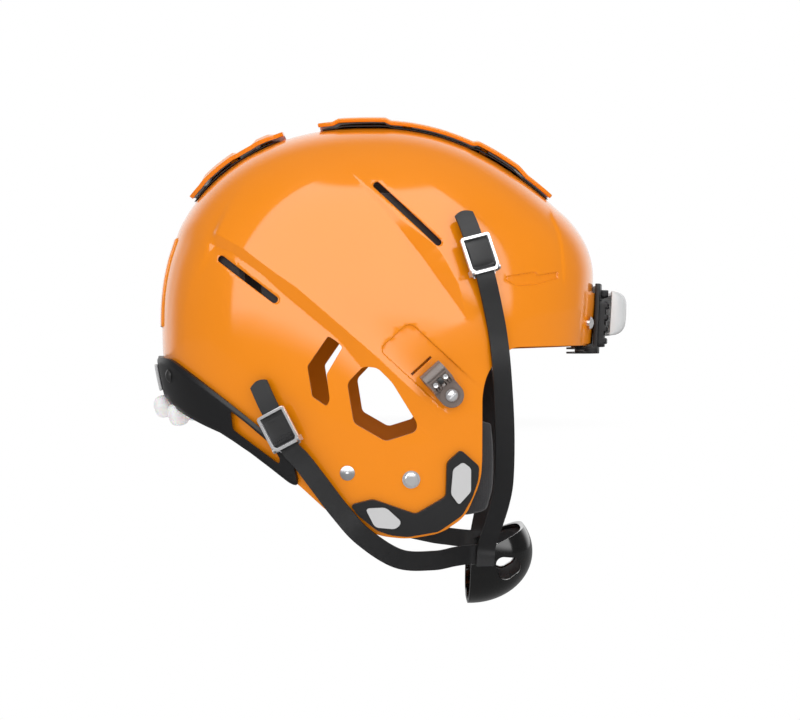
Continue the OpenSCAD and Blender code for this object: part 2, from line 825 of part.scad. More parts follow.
module pad_rivets() {
    color("gray")
        for (side = [-1, 1])
            mirrored(side)
                on_side(rivet_place) {
                    translate([0, 0, -shell_wall - 2])
                        cylinder(r = 2.2, h = shell_wall + 2.4);
                    translate([0, 0, clear])
                        dome_head(4.7, 1.2);
                    translate([0, 0, -shell_wall - 2])
                        cylinder(r = 5, h = 1.3);
                }
}

module snap_caps() {
    color("black")
        for (side = [-1, 1], place = [upper_snap, lower_snap])
            mirrored(side)
                on_side(place)
                    difference() {
                        translate([0, 0, 1.2])
                            cylinder(r = cap_radius, h = cap_height - 1.2);
                        cylinder(r = stud_radius + clear, h = stud_height + clear);
                    }
}

// Buckle: y runs up the strap and z out of the shell
arm = 1.7;
lug = 1;
hub = pin_radius + 0.9;
arm_inner = strap_width / 2 + 0.45;
lug_inner = arm_inner + arm + 0.25;
plate_top = cap_height + buckle_plate;
pin_height = plate_top + strap_thick + 0.6 + hub;
pin_place = 3 - buckle_length / 2;

module buckle_base(side, place, turn) {
    width = 2 * (lug_inner + lug);
    color("silver")
        mirrored(side)
            on_side(place, turn)
                difference() {
                    union() {
                        translate([-arm_inner - 0.6, -buckle_length / 2, cap_height])
                            cube([2 * arm_inner + 1.2, buckle_length, buckle_plate]);
                        translate([-width / 2, pin_place - hub, cap_height])
                            cube([width, 2 * hub, buckle_plate]);
                        for (x = [-lug_inner - lug, lug_inner])
                            translate([x, pin_place, pin_height])
                                rotate([0, 90, 0])
                                    cylinder(r = hub, h = lug);
                        for (x = [-lug_inner - lug, lug_inner])
                            translate([x, pin_place - hub, cap_height])
                                cube([lug, 2 * hub, pin_height - cap_height]);
                    }
                    translate([0, pin_place, pin_height])
                        rotate([0, 90, 0])
                            cylinder(r = pin_radius, h = 40, center = true);
                }
}

module buckle_frame(side, place, turn) {
    width = 2 * (arm_inner + arm);
    length = buckle_length - 3;
    color("gainsboro")
        mirrored(side)
            on_side(place, turn)
                translate([0, pin_place, pin_height])
                    difference() {
                        union() {
                            rotate([0, 90, 0])
                                cylinder(r = hub, h = width, center = true);
                            for (x = [-arm_inner - arm, arm_inner])
                                translate([x, 0, -1.1])
                                    cube([arm, length, 2.2]);
                            translate([-width / 2, length - 2.6, -1.1])
                                cube([width, 2.6, 2.2]);
                        }
                        rotate([0, 90, 0])
                            cylinder(r = pin_radius + running, h = 40, center = true);
                    }
}

module buckle_pins() {
    color("gray")
        for (side = [-1, 1])
            mirrored(side) {
                buckle_pin(upper_snap, upper_turn);
                buckle_pin(lower_snap, lower_turn);
            }
}

module buckle_pin(place, turn) {
    on_side(place, turn)
        translate([0, pin_place, pin_height])
            rotate([0, 90, 0])
                cylinder(r = pin_radius, h = 2 * (lug_inner + lug), center = true);
}

// Axes of the local frame of a side place, as in on_side
function side_axes(place, turn) =
    let (n = side_normal(place[0], place[1]))
    let (b = acos(n[2]), c = atan2(n[1], n[0]))
    let (x = [-sin(c), cos(c), 0], y = [-cos(b) * cos(c), -cos(b) * sin(c), sin(b)])
    [x * cos(turn) + y * sin(turn), y * cos(turn) - x * sin(turn), n];
function side_local(place, turn, v) =
    let (axes = side_axes(place, turn))
    side_point(place[0], place[1]) + v[0] * axes[0] + v[1] * axes[1] + v[2] * axes[2];

// Station of a strap: a point and the direction that its face looks
function on_buckle(place, turn, y, z) = [side_local(place, turn, [0, y, z]), side_normal(place[0], place[1])];
function on_shell(x, z, d) = [side_point(x, z) + d * side_normal(x, z), side_normal(x, z)];

strap_level = plate_top + 0.15 + strap_thick / 2;
cup_side = cup_half + clear + strap_thick / 2;
// How far out a free strap lies: 0 at the chin cup and 1 at the widest shell
function strap_y(share) = mix(cup_side, half_width, share);
upper_route = [
    on_buckle(upper_snap, upper_turn, 26, 5.2),
    on_buckle(upper_snap, upper_turn, 17, strap_level),
    on_buckle(upper_snap, upper_turn, 0, strap_level),
    on_buckle(upper_snap, upper_turn, -14, strap_level),
    on_shell(jaw_front + 5, brow_edge + 26, 3.4),
    on_shell(jaw_front + 9, brow_edge + 8, 2),
    [[jaw_front + 12.5, strap_y(0.829), brow_edge - 16], [0.35, 1, 0.1]],
    [[jaw_front + 15, strap_y(0.664), 68 - jaw_depth], [0.2, 1, -0.25]],
    [[jaw_front + 15.5, strap_y(0.473), 36 - jaw_depth], [0.2, 1, -0.35]],
    [[jaw_front + 13.5, strap_y(0.342), 19 - jaw_depth], [0.2, 1, -0.4]],
    [[cup_x + 13, strap_y(0.178), 1 - jaw_depth], [0.2, 1, -0.5]],
    [[cup_x + 10, cup_side + strap_thick + 2.6, cup_z + 8], [0.25, 1, -0.3]],
    [[cup_x + 9.2, cup_side + strap_thick + 1.4, cup_z + 1], [0.25, 1, -0.1]],
    [[cup_x + 9, cup_side + strap_thick + 0.9, cup_z - 6], [0.25, 1, 0]]
];
lower_route = [
    on_buckle(lower_snap, lower_turn, 26, 5.2),
    on_buckle(lower_snap, lower_turn, 17, strap_level),
    on_buckle(lower_snap, lower_turn, 0, strap_level),
    on_buckle(lower_snap, lower_turn, -14, strap_level),
    on_shell(lower_snap[0] + 13, lower_snap[1] - 20, 5.5),
    on_shell(-49, 35 - jaw_depth, 5),
    on_shell(-37, 18.6 - jaw_depth, 4.4),
    [[-23, strap_y(0.918), 2 - jaw_depth], [0, 1, -0.2]],
    [[-1, strap_y(0.781), cup_z + 6], [0.2, 1, -0.2]],
    [[21.5, strap_y(0.479), cup_z + 2], [0.6, 1, -0.1]],
    [[cup_x - 12, strap_y(0.2055), cup_z + 2], [0.8, 1, 0]],
    [[cup_x - 2, cup_side + 3.4, cup_z + 2], [0.7, 1, 0]],
    [[cup_x + 5, cup_side + 0.5, cup_z + 1.8], [0.2, 1, 0]],
    [[cup_x + 13, cup_side, cup_z + 1.5], [0.05, 1, 0]]
];

// A smooth curve through the stations, with steps points between two of them
function curve_at(p, i, t) =
    let (a = p[max(i - 1, 0)], b = p[i], c = p[i + 1], d = p[min(i + 2, len(p) - 1)])
    0.5 * (2 * b + t * (c - a) + t * t * (2 * a - 5 * b + 4 * c - d) + t * t * t * (3 * b - a - 3 * c + d));
function smooth(route, steps) =
    concat([for (i = [0:len(route) - 2], k = [0:steps - 1]) curve_at(route, i, k / steps)], [route[len(route) - 1]]);

module strap(side, route) {
    stations = smooth(route, 3);
    last = len(stations) - 1;
    function along(i) = unit(stations[min(i + 1, last)][0] - stations[max(i - 1, 0)][0]);
    function across(i) = unit(cross(stations[i][1], along(i)));
    function face(i) = cross(along(i), across(i));
    function row(i, h) = [for (s = [-1, 1])
        stations[i][0] + across(i) * s * strap_width / 2 + face(i) * h * strap_thick / 2];
    color([0.15, 0.15, 0.15])
        mirrored(side)
            slab([for (i = [0:last]) row(i, 1)], [for (i = [0:last]) row(i, -1)]);
}

// Point of the chin cup at the angle e from forward round to below, and phi to the side
function cup_point(e, phi, d) =
    let (s = spow(cos(phi), cup_power))
    [
        cup_x + (cup_reach + d) * s * cos(e),
        (cup_half + d) * spow(sin(phi), cup_power),
        cup_z - (cup_depth + d) * s * sin(e)
    ];

module cup_layer(es, phi, high, low, ne, nphi) {
    function grid(d) =
        [for (i = [0:ne]) [for (j = [0:nphi])
            cup_point(mix(es[0], es[1], i / ne), phi * (2 * j / nphi - 1), d)]];
    slab(grid(high), grid(low));
}

module chin_cup() {
    color([0.08, 0.08, 0.08])
        difference() {
            cup_layer([-30, 92], 87, 0, -cup_wall, 12, 20);
            through()
                translate([cup_x, cup_z])
                    polygon(cup_vent);
        }
}

module chin_cup_pad() {
    color("dimgray")
        difference() {
            cup_layer([-24, 84], 70, -cup_wall - clear, -cup_wall - clear - cup_pad_thick, 8, 14);
            through()
                translate([cup_x, cup_z])
                    offset(delta = 1)
                        polygon(cup_vent);
        }
}

// A cushion inside the shell: u and v run from -1 to 1 over it, and its corners are rounded
function cushion_u(u, v) = u * sqrt(1 - 0.3 * v * v);
function cushion_v(u, v) = v * sqrt(1 - 0.3 * u * u);
function swell(u, v) = 0.4 + 0.6 * crown01(u, v);

module ring_cushion(t, z, half_t, half_z, low, thick, nt = 12, nz = 8) {
    function place(i, j, d) =
        let (u = 2 * j / nt - 1, v = 2 * i / nz - 1)
        ring_point(t + half_t * cushion_u(u, v), z + half_z * cushion_v(u, v), -shell_wall - low - d * swell(u, v));
    slab([for (i = [0:nz]) [for (j = [0:nt]) place(i, j, 0)]], [for (i = [0:nz]) [for (j = [0:nt]) place(i, j, thick)]]);
}

module front_pad() {
    color([0.2, 0.2, 0.2])
        ring_cushion(0, 50, 46, ring_pad_height / 2, brow_pad_gap, front_pad_thick);
}

module back_pad() {
    color([0.2, 0.2, 0.2])
        ring_cushion(180, 36, 46, ring_pad_height / 2 + 1, pad_gap, back_pad_thick);
}

module side_pad(side) {
    color([0.2, 0.2, 0.2])
        mirrored(side)
            ring_cushion(92, 66, 20, side_pad_height / 2, pad_gap, side_pad_thick, 10, 8);
}

module jaw_pad(side) {
    nx = 8;
    nz = 10;
    top = clip_bolt[1] - 14;
    low = 13 - jaw_depth;
    function place(i, j, d) =
        let (u = 2 * j / nx - 1, v = 2 * i / nz - 1)
        let (x = jaw_front - 11.5 + jaw_pad_width / 2 * cushion_u(u, v) - 5 * max(0, -v - 0.4))
        let (z = (top + low) / 2 + (top - low) / 2 * cushion_v(u, v))
        side_point(x, z, -shell_wall - pad_gap - d * swell(u, v));
    color([0.12, 0.12, 0.12])
        mirrored(side)
            slab([for (i = [0:nz]) [for (j = [0:nx]) place(i, j, 0)]],
                [for (i = [0:nz]) [for (j = [0:nx]) place(i, j, jaw_pad_thick)]]);
}

module crown_pad() {
    n = 10;
    function place(i, j, d) =
        let (u = 2 * j / n - 1, v = 2 * i / n - 1)
        top_point(mid_x + 9 + crown_pad_length / 2 * cushion_u(u, v), crown_pad_width / 2 * cushion_v(u, v),
            -shell_wall - pad_gap - d * swell(u, v));
    color([0.2, 0.2, 0.2])
        difference() {
            slab([for (i = [0:n]) [for (j = [0:n]) place(i, j, 0)]],
                [for (i = [0:n]) [for (j = [0:n]) place(i, j, crown_pad_thick)]]);
            for (p = front_posts)
                at_post(p, front_axis)
                    translate([0, 0, -post_length - plate_screw_thick - plate_travel - 1])
                        cylinder(r = grommet_radius + 2.6, h = 30);
        }
}

module nape_cushion() {
    foot = -nape_depth - 19;
    color([0.92, 0.92, 0.92])
        union() {
            ring_layer([144, 216], [foot, -nape_depth + 5],
                -shell_wall - nape_gap, -shell_wall - nape_gap - nape_thick, 12, 3);
            ring_layer([157, 203], [foot, foot + 6], 2, -shell_wall - nape_gap - 2, 8, 1);
            for (lobe = nape_lobes, side = [-1, 1])
                on_ring(180 + side * lobe[0], rear_low(lobe[0]) - clear - 0.3 - lobe_radius, lobe[1])
                    sphere(lobe_radius, $fn = 28);
        }
}

shell();
crown_plate_front();
crown_plate_rear();
plate_cushion_front();
plate_cushion_rear();
plate_grommets();
plate_screws_front();
plate_screws_rear();
front_bumper();
front_plate();
front_bumper_screws();
rear_bumper();
rear_plate();
rear_bumper_screws();
jaw_guard(1);  // jaw_guard_left
jaw_guard(-1);  // jaw_guard_right
badges(1);  // badges_left
badges(-1);  // badges_right
side_clip(1);  // side_clip_left
side_clip(-1);  // side_clip_right
quarter_turn(1);  // quarter_turn_left
quarter_turn(-1);  // quarter_turn_right
clip_nuts();
spare_stud(1);  // spare_stud_left
spare_stud(-1);  // spare_stud_right
strap_studs();
snap_caps();
pad_rivets();
crown_pad();
front_pad();
back_pad();
side_pad(1);  // side_pad_left
side_pad(-1);  // side_pad_right
jaw_pad(1);  // jaw_pad_left
jaw_pad(-1);  // jaw_pad_right
nape_cushion();
strap(1, upper_route);  // upper_strap_left
strap(-1, upper_route);  // upper_strap_right
strap(1, lower_route);  // lower_strap_left
strap(-1, lower_route);  // lower_strap_right
buckle_base(1, upper_snap, upper_turn);  // buckle_base_upper_left
buckle_base(-1, upper_snap, upper_turn);  // buckle_base_upper_right
buckle_base(1, lower_snap, lower_turn);  // buckle_base_lower_left
buckle_base(-1, lower_snap, lower_turn);  // buckle_base_lower_right
buckle_frame(1, upper_snap, upper_turn);  // buckle_frame_upper_left
buckle_frame(-1, upper_snap, upper_turn);  // buckle_frame_upper_right
buckle_frame(1, lower_snap, lower_turn);  // buckle_frame_lower_left
buckle_frame(-1, lower_snap, lower_turn);  // buckle_frame_lower_right
buckle_pins();
chin_cup();
chin_cup_pad();
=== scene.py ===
import json
import math
from contextlib import contextmanager

import bmesh
import bpy
import numpy as np
from mathutils import Matrix, Vector


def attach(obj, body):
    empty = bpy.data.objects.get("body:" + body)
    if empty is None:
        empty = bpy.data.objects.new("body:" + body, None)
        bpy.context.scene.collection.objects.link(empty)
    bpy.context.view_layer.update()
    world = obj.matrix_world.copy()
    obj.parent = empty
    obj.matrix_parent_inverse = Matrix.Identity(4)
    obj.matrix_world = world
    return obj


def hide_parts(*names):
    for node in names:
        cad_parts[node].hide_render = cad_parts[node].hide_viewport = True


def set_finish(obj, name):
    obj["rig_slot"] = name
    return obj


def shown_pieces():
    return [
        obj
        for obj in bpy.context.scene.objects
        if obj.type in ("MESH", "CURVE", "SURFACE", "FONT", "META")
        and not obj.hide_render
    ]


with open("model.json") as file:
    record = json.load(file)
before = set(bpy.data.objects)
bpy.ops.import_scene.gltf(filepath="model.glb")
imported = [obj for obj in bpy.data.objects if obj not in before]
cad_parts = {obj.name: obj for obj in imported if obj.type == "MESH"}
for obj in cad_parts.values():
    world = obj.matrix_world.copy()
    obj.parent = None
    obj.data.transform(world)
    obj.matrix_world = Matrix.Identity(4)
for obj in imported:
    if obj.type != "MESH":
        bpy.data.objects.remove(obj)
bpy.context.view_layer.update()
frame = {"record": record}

# Football helmet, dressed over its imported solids. Sizes are in millimetres and
# are turned to metres where a mesh is written.
MM = 0.001


# Main sizes of the shell
MID_X = -17
HALF_LENGTH, HALF_WIDTH = 148.5, 118
BELT, DOME_HEIGHT = 25, 136
NAPE_DEPTH, JAW_DEPTH, JAW_FRONT, BROW_EDGE = 22, 113, 52, 8
NAPE_TUCK, JAW_TUCK = 6, 10
BROW_BULGE, BROW_BULGE_HEIGHT, BROW_BULGE_SPREAD = 9.5, 80, 35
BOSS, BOSS_ANGLE = 3, 21
WALL, CLEAR = 3.6, 0.3
SIDE_POWER, FRONT_POWER, REAR_POWER, PLAN_POWER, CUP_POWER = 2.15, 1.95, 2.27, 2.3, 3
REAR_END = MID_X - HALF_LENGTH


# Form of the shell
def bump(u):
    return np.exp(-u * u)


def rounded_power(v, power):
    return np.sign(v) * np.abs(v) ** (2 / power)


def step(v, low, high):
    """0 below low, 1 above high and smooth between."""
    t = np.clip((v - low) / (high - low), 0, 1)
    return t * t * (3 - 2 * t)


def mix(a, b, t):
    return a + (b - a) * t


def dome(z, d, power):
    high = np.clip((z - BELT) / (DOME_HEIGHT + d), 0, 1)
    return (1 - high ** power) ** (1 / power)


def reach(z, d, ahead):
    low = np.maximum(0, BELT - z) / (BELT + NAPE_DEPTH)
    bulge = BROW_BULGE * bump((z - BROW_BULGE_HEIGHT) / BROW_BULGE_SPREAD)
    return np.where(ahead, (HALF_LENGTH + d) * dome(z, d, FRONT_POWER) + bulge,
                    (HALF_LENGTH + d) * dome(z, d, REAR_POWER) - NAPE_TUCK * low ** 2)


def spread(z, d):
    low = np.maximum(0, BELT - z) / (BELT + JAW_DEPTH)
    return (HALF_WIDTH + d) * dome(z, d, SIDE_POWER) - JAW_TUCK * low ** 2


def ring_point(turn, z, d=0.0):
    """Point of the surface d outside the shell, at an angle in degrees round the level z."""
    a = np.radians(turn)
    z = z + 0 * a
    return np.stack([
        MID_X + reach(z, d, np.cos(a) > 0) * rounded_power(np.cos(a), PLAN_POWER),
        spread(z, d) * rounded_power(np.sin(a), PLAN_POWER),
        z,
    ], -1)


def fullness(x, y, z, d):
    """1 on the surface d outside the shell, less inside it and more beyond it."""
    return ((np.abs(x - MID_X) / np.maximum(reach(z, d, x > MID_X), 1e-6)) ** PLAN_POWER
            + (np.abs(y) / np.maximum(spread(z, d), 1e-6)) ** PLAN_POWER) ** (1 / PLAN_POWER)


def side_y(x, z, d=0.0):
    along = np.clip(np.abs(x - MID_X) / np.maximum(reach(z, d, x > MID_X), 1e-6), 0, 1)
    return spread(z, d) * (1 - along ** PLAN_POWER) ** (1 / PLAN_POWER)


def top_z(x, y, d=0.0):
    """Height of that surface, found by halving the span between the belt and the crown."""
    x, y, d = np.broadcast_arrays(np.asarray(x, float), np.asarray(y, float), np.asarray(d, float))
    low, high = np.full(x.shape, float(BELT)), BELT + DOME_HEIGHT + d
    for _ in range(24):
        middle = (low + high) / 2
        beyond = fullness(x, y, middle, d) > 1
        low, high = np.where(beyond, low, middle), np.where(beyond, middle, high)
    return low


def turn_of(x, y, z):
    """Angle round the ring of a point near the shell, in degrees."""
    ahead = np.abs(x - MID_X) / np.maximum(reach(z, 0, x > MID_X), 1e-6)
    aside = np.abs(y) / np.maximum(spread(z, 0), 1e-6)
    a = np.degrees(np.arctan2(aside ** (PLAN_POWER / 2), ahead ** (PLAN_POWER / 2)))
    return np.sign(y) * np.where(x > MID_X, a, 180 - a)


def boss(turn):
    return BOSS * np.maximum(0, 1 - (turn / BOSS_ANGLE) ** 2)


def side_normal(x, z):
    up = np.array([0, side_y(x, z + 1) - side_y(x, z - 1), 2.0])
    ahead = np.array([2.0, side_y(x + 1, z) - side_y(x - 1, z), 0])
    n = np.cross(up, ahead)
    return n / np.linalg.norm(n)


def standing(spot, n, turn, lift):
    """Matrix whose z axis is n, lifted along it from a spot and turned about it."""
    tilt = Matrix.Rotation(math.acos(n[2]), 4, "Y")
    swing = Matrix.Rotation(math.atan2(n[1], n[0]), 4, "Z")
    lifted = Matrix.Translation(Vector(spot) + lift * Vector(n))
    return lifted @ swing @ tilt @ Matrix.Rotation(math.radians(90 + turn), 4, "Z")


def side_frame(place, turn=0.0, lift=0.0):
    """Matrix of a place on the left side: x back, y up and z out of the shell, in millimetres."""
    x, z = place
    return standing((x, float(side_y(x, z)), z), side_normal(x, z), turn, lift)


def ring_frame(turn, z, lift=0.0):
    """Matrix of a place on the ring: x round it, y up and z out of the shell."""
    across = ring_point(turn + 0.5, z) - ring_point(turn - 0.5, z)
    up = ring_point(turn, z + 0.5) - ring_point(turn, z - 0.5)
    n = np.cross(across, up)
    return standing(ring_point(turn, z), n / np.linalg.norm(n), 0, lift)


# Mesh tools
def activate(piece):
    bpy.ops.object.select_all(action="DESELECT")
    piece.select_set(True)
    bpy.context.view_layer.objects.active = piece


def take_new(name):
    piece = bpy.context.object
    piece.name = name
    piece.data.name = name
    return piece


@contextmanager
def editing(piece, choice="DESELECT"):
    activate(piece)
    bpy.ops.object.mode_set(mode="EDIT")
    bpy.ops.mesh.select_all(action=choice)
    yield bmesh.from_edit_mesh(piece.data)
    bpy.ops.object.mode_set(mode="OBJECT")


def add_to_scene(name, data):
    made = bpy.data.objects.new(name, data)
    bpy.context.scene.collection.objects.link(made)
    return made


def apply(piece, kind, **settings):
    modifier = piece.modifiers.new(kind.lower(), kind)
    for key, value in settings.items():
        setattr(modifier, key, value)
    activate(piece)
    bpy.ops.object.modifier_apply(modifier=modifier.name)


def values_of(items, key, size=3):
    flat = np.empty(size * len(items))
    items.foreach_get(key, flat)
    return flat.reshape(-1, size)


def points_of(piece):
    return values_of(piece.data.vertices, "co")


def set_points(piece, points):
    piece.data.vertices.foreach_set("co", np.ascontiguousarray(points, dtype=float).ravel())
    piece.data.update()


def move_by(piece, matrix):
    """Moves a mesh by a matrix, both in millimetres, and turns it to metres."""
    piece.data.transform(Matrix.Scale(MM, 4) @ matrix)
    piece.data.update()


def extrude(piece, move):
    with editing(piece, "SELECT"):
        bpy.ops.mesh.extrude_region_move(TRANSFORM_OT_translate={"value": move})


def face_outwards(piece):
    with editing(piece, "SELECT"):
        bpy.ops.mesh.remove_doubles(threshold=1e-7)
        bpy.ops.mesh.normals_make_consistent(inside=False)


def smooth(piece, angle=35):
    activate(piece)
    bpy.ops.object.shade_smooth_by_angle(angle=math.radians(angle))


def bevel(piece, width, segments=3, angle=40):
    apply(piece, "BEVEL", width=width * MM, segments=segments, limit_method="ANGLE",
          angle_limit=math.radians(angle), use_clamp_overlap=True, harden_normals=False)


def mirrored(piece, name):
    """A copy for the other side, with its own mesh."""
    other = piece.copy()
    other.data = piece.data.copy()
    other.name = other.data.name = name
    bpy.context.scene.collection.objects.link(other)
    other.data.transform(Matrix.Scale(-1, 4, (0, 1, 0)))
    other.data.flip_normals()
    return other


def box(name, place, size):
    bpy.ops.mesh.primitive_cube_add(size=1, location=place, scale=size)
    bpy.ops.object.transform_apply(location=True, rotation=True, scale=True)
    return take_new(name)


def upright(name, x, y, low, high, radius, vertices=40):
    bpy.ops.mesh.primitive_cylinder_add(vertices=vertices, radius=radius, depth=high - low)
    piece = take_new(name)
    piece.data.transform(Matrix.Translation((x, y, (low + high) / 2)))
    return piece


def crosswise(name, x, z, radius, length, vertices=48):
    bpy.ops.mesh.primitive_cylinder_add(vertices=vertices, radius=radius, depth=length)
    piece = take_new(name)
    piece.data.transform(Matrix.Translation((x, 0, z)) @ Matrix.Rotation(math.radians(90), 4, "X"))
    return piece


def curved_grid(name, columns, rows, form):
    """A grid of unit half size, laid where form(u, v) puts its points, in millimetres."""
    bpy.ops.mesh.primitive_grid_add(x_subdivisions=columns, y_subdivisions=rows, size=2)
    piece = take_new(name)
    flat = points_of(piece)
    set_points(piece, form(flat[:, 0], flat[:, 1]) * MM)
    return piece


def thicken(piece, centre, thick, even=False):
    """Turns a sheet away from a point, in millimetres, and gives it its thickness on the inside."""
    away = 0.0
    for face in piece.data.polygons:
        away += face.area * face.normal.dot(face.center / MM - Vector(centre))
    if away < 0:
        piece.data.flip_normals()
    apply(piece, "SOLIDIFY", thickness=thick * MM, offset=-1, use_even_offset=even)


def soften(piece, width, segments=3, angle=40, shade=35):
    bevel(piece, width, segments, angle)
    smooth(piece, shade)
    return piece


def flat_outline(name, outline, corner=0.0, corner_steps=3):
    """A filled polygon in the side view, with its corners rounded, in millimetres."""
    bpy.ops.mesh.primitive_circle_add(vertices=len(outline), radius=1, fill_type="NGON")
    piece = take_new(name)
    set_points(piece, np.array([[x, 0, z] for x, z in outline]))
    if corner:
        with editing(piece, "SELECT"):
            bpy.ops.mesh.bevel(offset=corner, segments=corner_steps, affect="VERTICES", clamp_overlap=True)
    return piece


def prism(name, outline, corner=0.0, low=-200, high=200, corner_steps=3):
    """That polygon drawn out along Y, in metres, for cutting."""
    piece = flat_outline(name, outline, corner, corner_steps)
    extrude(piece, (0, high - low, 0))
    piece.data.transform(Matrix.Scale(MM, 4) @ Matrix.Translation((0, low, 0)))
    face_outwards(piece)
    return piece


def cut(piece, tool, operation="DIFFERENCE"):
    apply(piece, "BOOLEAN", object=tool, operation=operation, solver="MANIFOLD")
    bpy.data.objects.remove(tool)


def side_panel(name, outline, low, high, corner=1.5, fineness=14):
    """A panel of that outline on the left side of the shell, between two heights over it."""
    piece = flat_outline(name, outline, corner)
    with editing(piece, "SELECT"):
        bpy.ops.mesh.quads_convert_to_tris(ngon_method="CLIP")
        bpy.ops.mesh.subdivide(number_cuts=fineness)
    flat = points_of(piece)
    flat[:, 1] = side_y(flat[:, 0], flat[:, 2], high)
    set_points(piece, flat * MM)
    thicken(piece, (MID_X, 0, -50), high - low, True)
    return piece


def distance_to_line(x, z, line):
    """Signed distance to a polyline in the side view, positive above it, and the share along it."""
    line = np.array(line, float)
    best = np.full(np.shape(x), 1e9)
    signed = np.zeros(np.shape(x))
    along = np.zeros(np.shape(x))
    lengths = np.linalg.norm(np.diff(line, axis=0), axis=1)
    total, gone = lengths.sum(), 0.0
    for a, b, length in zip(line[:-1], line[1:], lengths):
        direction = (b - a) / length
        u = np.clip((x - a[0]) * direction[0] + (z - a[1]) * direction[1], 0, length)
        dx, dz = x - a[0] - u * direction[0], z - a[1] - u * direction[1]
        distance = np.hypot(dx, dz)
        side = np.sign(direction[0] * dz - direction[1] * dx)
        nearer = distance < best
        best = np.where(nearer, distance, best)
        signed = np.where(nearer, side * distance, signed)
        along = np.where(nearer, (gone + u) / total, along)
        gone += length
    return signed, along


def inside_depth(x, z, outline):
    """Distance to the edge of a polygon in the side view, positive inside it."""
    outline = np.array(outline, float)
    best = np.full(np.shape(x), 1e9)
    inside = np.zeros(np.shape(x), bool)
    for a, b in zip(outline, np.roll(outline, -1, axis=0)):
        e = b - a
        u = np.clip(((x - a[0]) * e[0] + (z - a[1]) * e[1]) / (e @ e), 0, 1)
        best = np.minimum(best, np.hypot(x - a[0] - u * e[0], z - a[1] - u * e[1]))
        crosses = (a[1] > z) != (b[1] > z)
        rise = e[1] if e[1] else 1e-9
        inside ^= crosses & (x < a[0] + (z - a[1]) * e[0] / rise)
    return np.where(inside, best, -best)


# Side view of the shell's edge, holes and moulded lines: x and z
SIDE_OUTLINE = [
    (-220, 240), (220, 240), (220, BROW_EDGE + 5), (JAW_FRONT + 18, BROW_EDGE),
    (JAW_FRONT + 4, BROW_EDGE - 14), (JAW_FRONT, BROW_EDGE - 28),
    (JAW_FRONT, 48 - JAW_DEPTH), (JAW_FRONT - 1, 36 - JAW_DEPTH), (JAW_FRONT - 10.5, 14 - JAW_DEPTH),
    (JAW_FRONT - 26, 3.5 - JAW_DEPTH), (JAW_FRONT - 47, -JAW_DEPTH), (JAW_FRONT - 65, 2 - JAW_DEPTH),
    (-44, 16 - JAW_DEPTH), (-65, 35 - JAW_DEPTH), (REAR_END + 77, -39 - NAPE_DEPTH),
    (REAR_END + 54, -24.5 - NAPE_DEPTH), (REAR_END + 33, -14.5 - NAPE_DEPTH), (REAR_END + 6, -NAPE_DEPTH),
    (-220, -NAPE_DEPTH),
]
HEX_HOLE = [
    (-23, -4), (-33, -14.5), (-29, -39.5), (-9, -51), (10, -45), (11, -40), (-5, -14), (-14, -5),
]
CHEVRON_HOLE = [
    (-45, 15), (-58, -4), (-55, -23), (-46, -29), (-44, -25), (-46, -9), (-36, 8), (-40, 12),
]
SLOTS = [((-15, 112), (24, 74)), ((-115, 65), (-79, 38))]
SLOT_WIDTH = 4.6
LONG_FACE_LOW = [(-125, 76), (-108, 69), (-88, 54.5), (-73, 41), (-38, 12.6), (-24.3, -4), (25.3, -56)]
LONG_FACE_HIGH = [(-126, 86), (-98.6, 70), (-80, 56), (-63.5, 44.5), (-27, 12.6), (-13.5, 0.8), (44, -53.7)]
SHORT_FACE_LOW = [(-36, 126), (-13, 99.5), (12.7, 67), (25, 50), (38.5, 31), (42.4, 25.3)]
SHORT_FACE_HIGH = [(-36, 126), (-16.8, 106), (0, 89), (22.5, 71), (27, 65), (35.6, 48.4), (42.4, 25.3)]
BROW_RECESS = [(64, 52.5), (87, 56.6), (88.3, 54.5), (102.6, 57.1), (102.3, 52.8), (87, 48.3), (74, 47)]
BACK_CREASE = [(12, -141), (34, -140), (62, -134.5), (86, -125)]
BROW_CREASE = [(56, 106.5), (73, 105.5), (83, 104), (94, 100)]
CLIP_PLACE, CLIP_TURN, CLIP_LENGTH = (26.5, -16), 48, 29
BACK_STRIP = [(22, 83), 38]
LONG_FACE_HEIGHT, SHORT_FACE_HEIGHT, STRIP_HEIGHT, BROW_STEP = 2.3, 2.9, 1.3, 0.9
RECESS_DEPTH, CHANNEL_DEPTH, RIM_DEPTH = 0.9, 1.1, 1.1


def sloped_face(x, z, low_line, high_line, height, ends):
    """A face that leans out between two lines: the surface falls from its high line to its low line."""
    over, along = distance_to_line(x, z, low_line)
    beyond, _ = distance_to_line(x, z, high_line)
    width = np.maximum(over - beyond, 0.01)
    share = np.clip(over / width, 0, 1)
    size = height * np.clip(width / 7.0, 0, 1.15)
    size = size * step(along, 0.0, ends[0]) * (1 - step(along, ends[1], 1.0))
    fade = np.exp(-np.maximum(beyond, 0) / 12) * np.exp(-np.maximum(-over, 0) / 14)
    return size * fade * mix(-0.75, 0.85, share)


def clip_axes(x, z):
    """Distance along the clip, back from its middle, and across it."""
    turn = math.radians(CLIP_TURN)
    return ((z - CLIP_PLACE[1]) * math.sin(turn) - (x - CLIP_PLACE[0]) * math.cos(turn),
            (x - CLIP_PLACE[0]) * math.sin(turn) + (z - CLIP_PLACE[1]) * math.cos(turn))


def between(points, at):
    """Value of a line at a place, from its points: place and value."""
    places, values = zip(*points)
    return np.interp(at, places, values)


